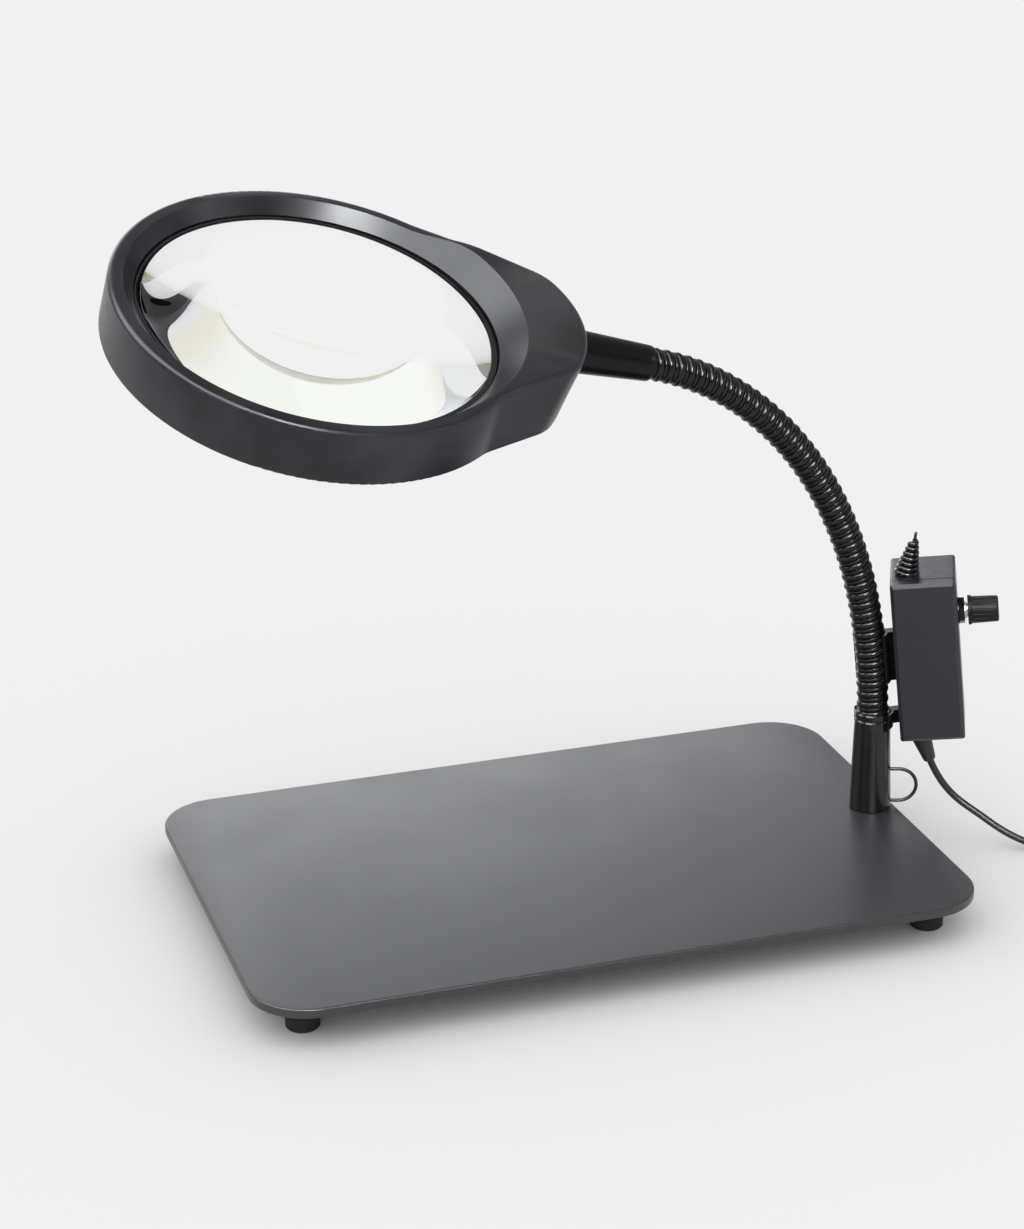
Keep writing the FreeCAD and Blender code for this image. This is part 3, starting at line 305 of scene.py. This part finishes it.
def lens_glass():
    """Coated clear optical glass with the faintest green tint: from outside it mirrors little, and
    inside it mirrors what meets its far surface at a flat angle."""
    finish = Finish("lens_glass", (1.0, 1.0, 1.0), 0.0)
    finish.mix_color(finish.ramp(finish.noise(0.03), 0.3, 0.7, 0.0, 0.5), (0.985, 1.0, 0.993))
    material = finish.done()

    def surface(kind):
        """One kind of clear surface with the glass's colour."""
        node = finish.nodes.new(kind)
        node.inputs["IOR"].default_value = GLASS_IOR
        finish.links.new(finish.color, node.inputs["Color"])
        finish.links.new(finish.roughness, node.inputs["Roughness"])
        return node.outputs[0]

    inside = finish.nodes.new("ShaderNodeNewGeometry").outputs["Backfacing"]
    choice = finish.nodes.new("ShaderNodeMixShader")
    finish.links.new(inside, choice.inputs["Fac"])
    finish.links.new(surface("ShaderNodeBsdfRefraction"), choice.inputs[1])
    finish.links.new(surface("ShaderNodeBsdfGlass"), choice.inputs[2])
    finish.links.new(choice.outputs[0], finish.nodes["Material Output"].inputs["Surface"])
    return material


def led_board_white():
    """Cream solder mask with faint tracks under it."""
    finish = Finish("led_board_white", (0.86, 0.83, 0.72), 0.35)
    finish.mottle(0.004, (0.92, 0.90, 0.80), 0.7)
    finish.grain(0.001, 0.00001)
    return finish.done()


def led_chip():
    """Warm phosphor gel in a white package."""
    finish = Finish("led_chip", (0.80, 0.62, 0.30), 0.3)
    finish.mottle(0.0015, (0.90, 0.82, 0.55), 0.8)
    finish.grain(0.0006, 0.00002)
    return finish.done()


def board_green():
    """Green circuit board with faint tracks."""
    finish = Finish("board_green", (0.02, 0.16, 0.06), 0.35)
    finish.mottle(0.002, (0.05, 0.26, 0.10), 0.8)
    finish.grain(0.0008, 0.00002)
    return finish.done()


MATERIALS = {
    "plate_paint": plate_paint(),
    "foot_rubber": moulded("foot_rubber", (0.012, 0.012, 0.013), 0.6, 0.00003, 0.3),
    "bright_steel": metal("bright_steel", (0.62, 0.62, 0.63), 0.28),
    "post_enamel": black_enamel("post_enamel", 0.14, 0.45),
    "neck_enamel": black_enamel("neck_enamel", 0.17, 0.30),
    "sleeve_plastic": moulded("sleeve_plastic", (0.004, 0.004, 0.0045), 0.24, specular=0.2),
    "housing_plastic": housing_plastic(),
    "cover_plastic": moulded("cover_plastic", (0.03, 0.03, 0.032), 0.45),
    "ring_plastic": moulded("ring_plastic", (0.006, 0.006, 0.007), 0.12),
    "lens_glass": lens_glass(),
    "seal_rubber": moulded("seal_rubber", (0.02, 0.02, 0.02), 0.7),
    "led_board_white": led_board_white(),
    "led_chip": led_chip(),
    "lead_insulation": moulded("lead_insulation", (0.012, 0.012, 0.012), 0.35),
    "box_plastic": moulded("box_plastic", (0.013, 0.013, 0.017), 0.36, 0.00003, 0.5),
    "board_green": board_green(),
    "component_plastic": moulded("component_plastic", (0.03, 0.03, 0.05), 0.4),
    "pot_metal": metal("pot_metal", (0.7, 0.7, 0.7), 0.3),
    "knob_plastic": moulded("knob_plastic", (0.011, 0.0105, 0.012), 0.46, 0.00002, 0.18),
    "guard_plastic": moulded("guard_plastic", (0.005, 0.005, 0.005), 0.16),
    "cord_rubber": moulded("cord_rubber", (0.014, 0.014, 0.014), 0.42, 0.00002),
    "clip_plastic": moulded("clip_plastic", (0.008, 0.008, 0.009), 0.3),
    "plug_plastic": moulded("plug_plastic", (0.02, 0.02, 0.02), 0.45, 0.00002),
    "blackened_metal": metal("blackened_metal", (0.03, 0.03, 0.032), 0.22),
    "plug_metal": metal("plug_metal", (0.8, 0.8, 0.78), 0.18),
}


# ---- CAD nodes that stay -----------------------------------------------------------------------
SMOOTH_ANGLE = math.radians(28)
WELD_DISTANCE = 0.00001


def dress_cad_nodes():
    """Gives every CAD node its slot's material and smooth shading on its curved faces."""
    slots = {part["node"]: part["material_slot"] for part in frame["record"]["subparts"]}
    for node, piece in frame["nodes"].items():
        piece.data.materials.clear()
        piece.data.materials.append(MATERIALS[slots[node]])
        if piece.data.has_custom_normals:
            bpy.context.view_layer.objects.active = piece
            bpy.ops.mesh.customdata_custom_splitnormals_clear()
        for polygon in piece.data.polygons:
            polygon.use_smooth = True
        weld = piece.modifiers.new("weld", "WELD")
        weld.merge_threshold = WELD_DISTANCE
        split = piece.modifiers.new("split", "EDGE_SPLIT")
        split.split_angle = SMOOTH_ANGLE


# ---- mesh helpers --------------------------------------------------------------------------------
def new_piece(name, points, faces, slot, body=None, replaces=()):
    """A mesh piece with its slot's material, riding on its body."""
    mesh = bpy.data.meshes.new(name)
    mesh.from_pydata([tuple(point) for point in points], [], faces)
    mesh.validate()
    piece = bpy.data.objects.new(name, mesh)
    bpy.context.scene.collection.objects.link(piece)
    mesh.materials.append(MATERIALS[slot])
    for polygon in mesh.polygons:
        polygon.use_smooth = True
    fix_normals(mesh)
    if body:
        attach(piece, body)
    if replaces:
        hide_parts(*replaces)
    return piece


def fix_normals(mesh):
    """Turns every face of closed meshes outwards."""
    work = bmesh.new()
    work.from_mesh(mesh)
    bmesh.ops.recalc_face_normals(work, faces=work.faces)
    work.to_mesh(mesh)
    work.free()


def skin(rings):
    """Points and faces of a closed tube through rings that have equal numbers of points."""
    around = len(rings[0])
    points = [point for ring in rings for point in ring]
    faces = []
    for row in range(len(rings) - 1):
        for index in range(around):
            after = (index + 1) % around
            low = row * around
            faces.append((low + index, low + after, low + around + after, low + around + index))
    faces.append(tuple(range(around)))
    faces.append(tuple(range(len(points) - around, len(points))))
    return points, faces


def lathe(profile, place, steps):
    """Points and faces of a solid of revolution; its (radius, height) points end on the axis."""
    points = [place @ Vector((0, 0, profile[0][1]))]
    for radius, height in profile[1:-1]:
        for step in range(steps):
            angle = 2 * math.pi * step / steps
            points.append(place @ Vector((radius * math.cos(angle), radius * math.sin(angle), height)))
    points.append(place @ Vector((0, 0, profile[-1][1])))
    last = len(points) - 1
    rows = len(profile) - 2
    faces = []
    for step in range(steps):
        after = (step + 1) % steps
        faces.append((0, 1 + step, 1 + after))
        for row in range(rows - 1):
            low = 1 + row * steps
            faces.append((low + step, low + steps + step, low + steps + after, low + after))
        top = 1 + (rows - 1) * steps
        faces.append((last, top + after, top + step))
    return points, faces


# ---- neck: two wires wound together, in stretches that meet in the middle of each section -------
FREE_BODIES = [body for body in frame["bodies"] if body.startswith("neck_") and body != "neck_end"]
FREE_SECTIONS = len(FREE_BODIES)
NECK_JOINTS = [joint for joint in frame["joints"] if joint["name"].startswith("neck_")]
NECK_KNOTS = [Vector(joint["pos_m"]) for joint in NECK_JOINTS]
SECTION_LENGTH = (NECK_KNOTS[1] - NECK_KNOTS[0]).length
HELD_SECTIONS = 4           # of the neck's length below the first joint, held still by the clips
HELD_LEAN = -0.0157         # sideways per unit of height where the neck leaves the post
NECK_START = 0.14           # where the wires begin and how far they pass the last section, in sections
NECK_OVERRUN = 0.04
TURNS_PER_SECTION = 3
POST_TOP = Vector((box_centre("post").x, box_centre("post").y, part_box("post")[1].z))
WIRE_RADIUS = 1.55 * MM
WIRE_HELIX_RADIUS = 5.2 * MM
WIRE_SIDES = 14
STEPS_PER_TURN = 36


def knot_tangent(index):
    """The neck's direction at a joint, with the section's length as its size."""
    last = len(NECK_KNOTS) - 1
    if index == 0:
        forward = NECK_KNOTS[1] - NECK_KNOTS[0]
        return forward * 2 - knot_tangent(1)
    if index == last:
        backward = NECK_KNOTS[last] - NECK_KNOTS[last - 1]
        return backward * 2 - knot_tangent(last - 1)
    return (NECK_KNOTS[index + 1] - NECK_KNOTS[index - 1]) / 2


def hermite(start, end, start_tangent, end_tangent, t):
    """A point of a cubic between two points, and its direction."""
    point = (
        start * (2 * t ** 3 - 3 * t ** 2 + 1)
        + start_tangent * (t ** 3 - 2 * t ** 2 + t)
        + end * (-2 * t ** 3 + 3 * t ** 2)
        + end_tangent * (t ** 3 - t ** 2)
    )
    direction = (
        start * (6 * t ** 2 - 6 * t)
        + start_tangent * (3 * t ** 2 - 4 * t + 1)
        + end * (-6 * t ** 2 + 6 * t)
        + end_tangent * (3 * t ** 2 - 2 * t)
    )
    return point, direction.normalized()


def neck_at(section):
    """The neck's centre line and direction at a place counted in sections from the post's top."""
    if section < HELD_SECTIONS:
        bottom_tangent = Vector((HELD_LEAN, 0, 1)) * SECTION_LENGTH * HELD_SECTIONS
        top_tangent = knot_tangent(0) * HELD_SECTIONS
        return hermite(POST_TOP, NECK_KNOTS[0], bottom_tangent, top_tangent, section / HELD_SECTIONS)
    index = min(int(section) - HELD_SECTIONS, FREE_SECTIONS - 1)
    t = section - HELD_SECTIONS - index
    return hermite(
        NECK_KNOTS[index], NECK_KNOTS[index + 1], knot_tangent(index), knot_tangent(index + 1), t
    )


def wire_rings(first, last, outline):
    """Cross-sections of a wire wound on the neck between two places, counted in sections.
    outline gives the wire's section as (along the neck, away from its centre line) points."""
    steps = max(2, round((last - first) * TURNS_PER_SECTION * STEPS_PER_TURN))
    rings = []
    for step in range(steps + 1):
        section = first + (last - first) * step / steps
        centre, direction = neck_at(section)
        angle = 2 * math.pi * TURNS_PER_SECTION * section
        sideways = Vector((0, 1, 0))
        upwards = sideways.cross(direction)
        outwards = upwards * math.cos(angle) + sideways * math.sin(angle)
        rings.append([centre + direction * along + outwards * away for along, away in outline])
    return rings


def round_wire_outline():
    """The round wire that makes the neck's wide ridges."""
    angles = [2 * math.pi * index / WIRE_SIDES for index in range(WIRE_SIDES)]
    return [
        (WIRE_RADIUS * math.cos(angle), WIRE_HELIX_RADIUS + WIRE_RADIUS * math.sin(angle))
        for angle in angles
    ]


def wedge_wire_outline():
    """The wedge wire that lies in the groove between the round wire's turns."""
    half_pitch = SECTION_LENGTH / TURNS_PER_SECTION / 2
    corners = [(-0.70, 5.95), (-0.45, 6.2), (0.45, 6.2), (0.70, 5.95), (0.25, 4.5), (-0.25, 4.5)]
    return [(half_pitch + along * MM, away * MM) for along, away in corners]


def build_neck():
    """Both wires, in one stretch from each section's middle to the next one's."""
    wires = {"coil_wire": round_wire_outline(), "wedge_wire": wedge_wire_outline()}
    last_place = HELD_SECTIONS + FREE_SECTIONS
    for wire, outline in wires.items():
        for index in range(len(NECK_JOINTS) + 1):
            if index == 0:
                first, last = NECK_START, HELD_SECTIONS - 0.5
            else:
                first = HELD_SECTIONS + index - 1.5
                last = min(first + 1, last_place + NECK_OVERRUN)
            points, faces = skin(wire_rings(first, last, outline))
            piece = new_piece(f"{wire}_{index:02d}", points, faces, "neck_enamel")
            if index == 0:
                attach(piece, "base")
                if wire == "coil_wire":
                    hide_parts("neck_root")
                continue
            direction = knot_tangent(index - 1).normalized()
            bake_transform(piece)
            if wire == "coil_wire" and index < len(NECK_JOINTS):
                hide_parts(f"neck_section_{index:02d}")


# ---- lens -----------------------------------------------------------------------------------------
def head_axes():
    """The head's centre in the lens's middle, its tail direction, and its facing direction."""
    points = node_points("lens")
    centre = box_centre("lens")
    farthest = max(points, key=lambda point: (point - centre).length)
    first = (farthest - centre).normalized()
    second = max(points, key=lambda point: abs((point - centre).cross(first).length)) - centre
    normal = first.cross(second).normalized()
    if normal.z < 0:
        normal = -normal
    to_neck = joint_place("head_swivel") - centre
    tail = (to_neck - normal * to_neck.dot(normal)).normalized()
    return centre, tail, normal


HEAD_CENTRE, TAIL_DIRECTION, FACING = head_axes()
SIDE_DIRECTION = FACING.cross(TAIL_DIRECTION)
HEAD_MATRIX = Matrix.Translation(HEAD_CENTRE) @ Matrix(
    (TAIL_DIRECTION, SIDE_DIRECTION, FACING)
).transposed().to_4x4()
LENS_POINTS = [HEAD_MATRIX.inverted() @ point for point in node_points("lens")]
LENS_RADIUS = max(math.hypot(point.x, point.y) for point in LENS_POINTS)
LENS_EDGE_POINTS = [point for point in LENS_POINTS if math.hypot(point.x, point.y) > 0.999 * LENS_RADIUS]
LENS_HALF_EDGE = max(abs(point.z) for point in LENS_EDGE_POINTS)
LENS_BULGE = max(abs(point.z) for point in LENS_POINTS) - LENS_HALF_EDGE
LENS_CURVATURE = (LENS_RADIUS ** 2 + LENS_BULGE ** 2) / (2 * LENS_BULGE)


LENS_ROWS = 40
LENS_STEPS = 192
LENS_EDGE_ANGLE = math.radians(40)


def build_lens():
    """The double-convex lens with smooth, fine surfaces, so that it refracts cleanly."""
    rise = LENS_CURVATURE - LENS_BULGE
    radii = [LENS_RADIUS * index / LENS_ROWS for index in range(LENS_ROWS + 1)]
    heights = [LENS_HALF_EDGE + math.sqrt(LENS_CURVATURE ** 2 - radius ** 2) - rise for radius in radii]
    top = list(zip(radii, heights))
    bottom = [(radius, -height) for radius, height in reversed(top)]
    points, faces = lathe(top + bottom, HEAD_MATRIX, LENS_STEPS)
    lens = new_piece("lens_glass_body", points, faces, "lens_glass", "head", ["lens"])
    split = lens.modifiers.new("split", "EDGE_SPLIT")
    split.split_angle = LENS_EDGE_ANGLE


# ---- coil guard on the dimmer box ---------------------------------------------------------------
GUARD_WIRE_RADIUS = 1.15 * MM
GUARD_WIDE_RADIUS = 4.5 * MM
GUARD_NARROW_RADIUS = 1.0 * MM
GUARD_TURNS = 7
GUARD_STEPS_PER_TURN = 30
GUARD_SIDES = 12            # of the wire
GUARD_TAIL_THINNING = 0.55  # of the wire past the last turn
GUARD_TAIL = 4.0 * MM       # of wire past the last turn
GUARD_ROOT = 2.5 * MM       # of the guard that is inside the box
CORE_NECK_RADIUS = 2.0 * MM
CORE_INSET = 0.3 * MM       # of the core's side from the middle of the wire
CORE_STEPS = 32


def guard_axis():
    """Where the guard stands on the box, and where its tip is."""
    points = node_points("lead_guard")
    tip = max(points, key=lambda point: point.z)
    reach = max((point - tip).length for point in points)
    root = centroid([point for point in points if (point - tip).length > reach - 0.05 * MM])
    return root + (tip - root).normalized() * GUARD_ROOT, tip


def build_guard():
    """The tapering coil that guards the lamp's lead, on a plain core, ending in a short wire."""
    foot, tip = guard_axis()
    axis = (tip - foot).normalized()
    first = axis.orthogonal().normalized()
    second = axis.cross(first)
    length = (tip - foot).length
    climb = length - GUARD_TAIL
    steps = GUARD_TURNS * GUARD_STEPS_PER_TURN

    def coil_radius(share):
        """How far the wire's middle stands from the axis."""
        return GUARD_WIDE_RADIUS + (GUARD_NARROW_RADIUS - GUARD_WIDE_RADIUS) * share

    def spot(share):
        """A place along the coil's wire."""
        angle = 2 * math.pi * GUARD_TURNS * share
        around = first * math.cos(angle) + second * math.sin(angle)
        return foot + axis * climb * share + around * coil_radius(share)

    centres = [spot(step / steps) for step in range(steps + 1)]
    for part in (0.35, 0.7, 1.0):
        centres.append(tip.lerp(centres[steps], 1 - part))
    rings = []
    for index, centre in enumerate(centres):
        before = centres[max(0, index - 1)]
        after = centres[min(len(centres) - 1, index + 1)]
        forward = (after - before).normalized()
        outwards = (centre - foot) - axis * (centre - foot).dot(axis)
        outwards = (outwards - forward * outwards.dot(forward)).normalized()
        sideways = forward.cross(outwards)
        thickness = GUARD_WIRE_RADIUS * (1.0 if index <= steps else GUARD_TAIL_THINNING)
        rings.append([
            centre + (outwards * math.cos(turn) + sideways * math.sin(turn)) * thickness
            for turn in [2 * math.pi * side / GUARD_SIDES for side in range(GUARD_SIDES)]
        ])
    points, faces = skin(rings)
    new_piece("guard_coil", points, faces, "guard_plastic", "base", ["lead_guard"])
    core_place = Matrix.Translation(foot) @ Matrix((first, second, axis)).transposed().to_4x4()
    core = [
        (0, -GUARD_ROOT),
        (CORE_NECK_RADIUS, -GUARD_ROOT),
        (CORE_NECK_RADIUS, 0),
        (coil_radius(0) - CORE_INSET, 0.2 * MM),
        (coil_radius(1) - CORE_INSET, climb),
        (0, climb + CORE_INSET),
    ]
    points, faces = lathe(core, core_place, CORE_STEPS)
    new_piece("guard_core", points, faces, "guard_plastic", "base")


# ---- stage: floor, light, camera ---------------------------------------------------------------
FLOOR_SIZE = 30.0


def build_floor():
    """A plain pale floor."""
    mesh = bpy.data.meshes.new("floor")
    half = FLOOR_SIZE / 2
    corners = [(-half, -half, 0), (half, -half, 0), (half, half, 0), (-half, half, 0)]
    mesh.from_pydata(corners, [], [(0, 1, 2, 3)])
    floor = bpy.data.objects.new("floor", mesh)
    bpy.context.scene.collection.objects.link(floor)
    finish = Finish("floor_paper", (0.88, 0.88, 0.88), 0.9, specular=0.0)
    mesh.materials.append(finish.done())


class Sky:
    """Builds the studio: how bright it is in each direction, for each kind of ray."""

    def __init__(self):
        world = bpy.data.worlds.new("studio")
        bpy.context.scene.world = world
        world.use_nodes = True
        self.nodes = world.node_tree.nodes
        self.links = world.node_tree.links
        self.nodes.clear()
        self.direction = self.nodes.new("ShaderNodeTexCoord").outputs["Generated"]
        self.path = self.nodes.new("ShaderNodeLightPath")

    def towards(self, azimuth, elevation):
        """How well a ray agrees with a heading; azimuth 0 is the front, and grows to the right."""
        turn, lift = math.radians(azimuth), math.radians(elevation)
        heading = (math.sin(turn) * math.cos(lift), -math.cos(turn) * math.cos(lift), math.sin(lift))
        product = self.nodes.new("ShaderNodeVectorMath")
        product.operation = "DOT_PRODUCT"
        self.links.new(self.direction, product.inputs[0])
        product.inputs[1].default_value = heading
        return product.outputs["Value"]

    def height(self):
        """The sine of a ray's elevation."""
        split = self.nodes.new("ShaderNodeSeparateXYZ")
        self.links.new(self.direction, split.inputs[0])
        return split.outputs["Z"]

    def fade(self, source, start, end, low, high):
        """A smooth change from one number to another while source goes from start to end."""
        node = self.nodes.new("ShaderNodeMapRange")
        node.interpolation_type = "SMOOTHSTEP"
        node.inputs["From Min"].default_value = start
        node.inputs["From Max"].default_value = end
        node.inputs["To Min"].default_value = low
        node.inputs["To Max"].default_value = high
        self.links.new(source, node.inputs["Value"])
        return node.outputs[0]

    def combine(self, operation, first, second):
        """Two numbers put together."""
        node = self.nodes.new("ShaderNodeMath")
        node.operation = operation
        self.links.new(first, node.inputs[0])
        self.links.new(second, node.inputs[1])
        return node.outputs[0]

    def softbox(self, azimuth, elevation, inner, outer, strength):
        """A round soft light between two angles from its middle."""
        agreement = self.towards(azimuth, elevation)
        dark, lit = math.cos(math.radians(outer)), math.cos(math.radians(inner))
        return self.fade(agreement, dark, lit, 0.0, strength)

    def glow(self, color, strength):
        """Light of one colour with a given strength."""
        node = self.nodes.new("ShaderNodeBackground")
        node.inputs["Color"].default_value = (*color, 1)
        if isinstance(strength, float):
            node.inputs["Strength"].default_value = strength
        else:
            self.links.new(strength, node.inputs["Strength"])
        return node.outputs[0]

    def mix(self, factor, first, second):
        """One light where factor is 0, another where it is 1."""
        node = self.nodes.new("ShaderNodeMixShader")
        self.links.new(factor, node.inputs["Fac"])
        self.links.new(first, node.inputs[1])
        self.links.new(second, node.inputs[2])
        return node.outputs[0]


SOFTBOXES = [       # azimuth, elevation, inner and outer angle, strength
    (-10, 38, 8, 13, 52.0),
    (-50, 50, 10, 22, 9.5),
    (-110, 48, 14, 32, 7.0),
    (62, 20, 3, 9, 5.0),
    (-62, 8, 3, 10, 5.0),
]
BACKDROP_EDGE = 29          # degrees above the floor where the bright backdrop ends
BACKDROP_STRENGTH = 2.55
FILL = 0.83                 # light on matt surfaces from everywhere, and what the key side adds
KEY = 0.30
LOW_WHITE = (0.885, 0.885, 0.885)       # what the lens sees, from the horizon upwards
HIGH_CREAM = (0.86, 0.83, 0.74)
BRIGHT = (0.955, 0.96, 0.915)


def build_world():
    """Even soft light for matt surfaces, softboxes in a dim room for glossy ones, and a white and
    cream surround for what the lens bends into view."""
    sky = Sky()
    key = sky.fade(sky.towards(-60, 45), -0.2, 1.0, FILL, FILL + KEY)
    even = sky.glow((1.0, 1.0, 1.0), key)
    edge = math.sin(math.radians(BACKDROP_EDGE))
    backdrop = sky.fade(sky.height(), edge - 0.06, edge + 0.10, BACKDROP_STRENGTH, 0.0)
    behind = sky.fade(sky.towards(178, 16), 0.90, 0.972, 0.02, 1.0)
    shine = sky.combine("MULTIPLY", backdrop, behind)
    for azimuth, elevation, inner, outer, strength in SOFTBOXES:
        shine = sky.combine("ADD", shine, sky.softbox(azimuth, elevation, inner, outer, strength))
    room = sky.fade(sky.towards(150, 60), -1.0, 1.0, 0.10, 0.40)
    glossy = sky.glow((0.94, 0.96, 1.0), sky.combine("ADD", shine, room))
    low_white = sky.glow(LOW_WHITE, 1.0)
    high_cream = sky.glow(HIGH_CREAM, 1.0)
    bright = sky.glow(BRIGHT, 1.0)
    surround = sky.mix(sky.fade(sky.height(), 0.10, 0.30, 0.0, 1.0), low_white, high_cream)
    surround = sky.mix(sky.fade(sky.height(), 0.35, 0.75, 0.0, 1.0), surround, bright)
    light = sky.mix(sky.path.outputs["Is Glossy Ray"], even, glossy)
    light = sky.mix(sky.path.outputs["Is Transmission Ray"], light, surround)
    output = sky.nodes.new("ShaderNodeOutputWorld")
    sky.links.new(light, output.inputs["Surface"])


CAMERA_AZIMUTH = math.radians(-17.38)
CAMERA_ELEVATION = math.radians(21.08)
CAMERA_ROLL = math.radians(-0.776)
CAMERA_DISTANCE = 1.5256
CAMERA_TARGET = Vector((0.06452, 0.26707, 0.017))
FOCAL_LENGTH = 89.66        # mm, on a sensor whose long side is 36 mm


def build_camera():
    """A camera that looks from the front left and above."""
    data = bpy.data.cameras.new("camera")
    data.sensor_width = 36.0
    data.sensor_fit = "AUTO"
    data.lens = FOCAL_LENGTH
    data.clip_end = 50.0
    camera = bpy.data.objects.new("camera", data)
    bpy.context.scene.collection.objects.link(camera)
    back = Vector((
        math.sin(CAMERA_AZIMUTH) * math.cos(CAMERA_ELEVATION),
        -math.cos(CAMERA_AZIMUTH) * math.cos(CAMERA_ELEVATION),
        math.sin(CAMERA_ELEVATION),
    ))
    right = Vector((0, 0, 1)).cross(back).normalized()
    up = back.cross(right)
    turn = Matrix((right, up, back)).transposed() @ Matrix.Rotation(CAMERA_ROLL, 3, "Z")
    camera.matrix_world = Matrix.Translation(CAMERA_TARGET + back * CAMERA_DISTANCE) @ turn.to_4x4()
    bpy.context.scene.camera = camera


dress_cad_nodes()
build_neck()
build_lens()
build_guard()
build_floor()
build_world()
build_camera()
bpy.context.scene.view_settings.view_transform = "Standard"
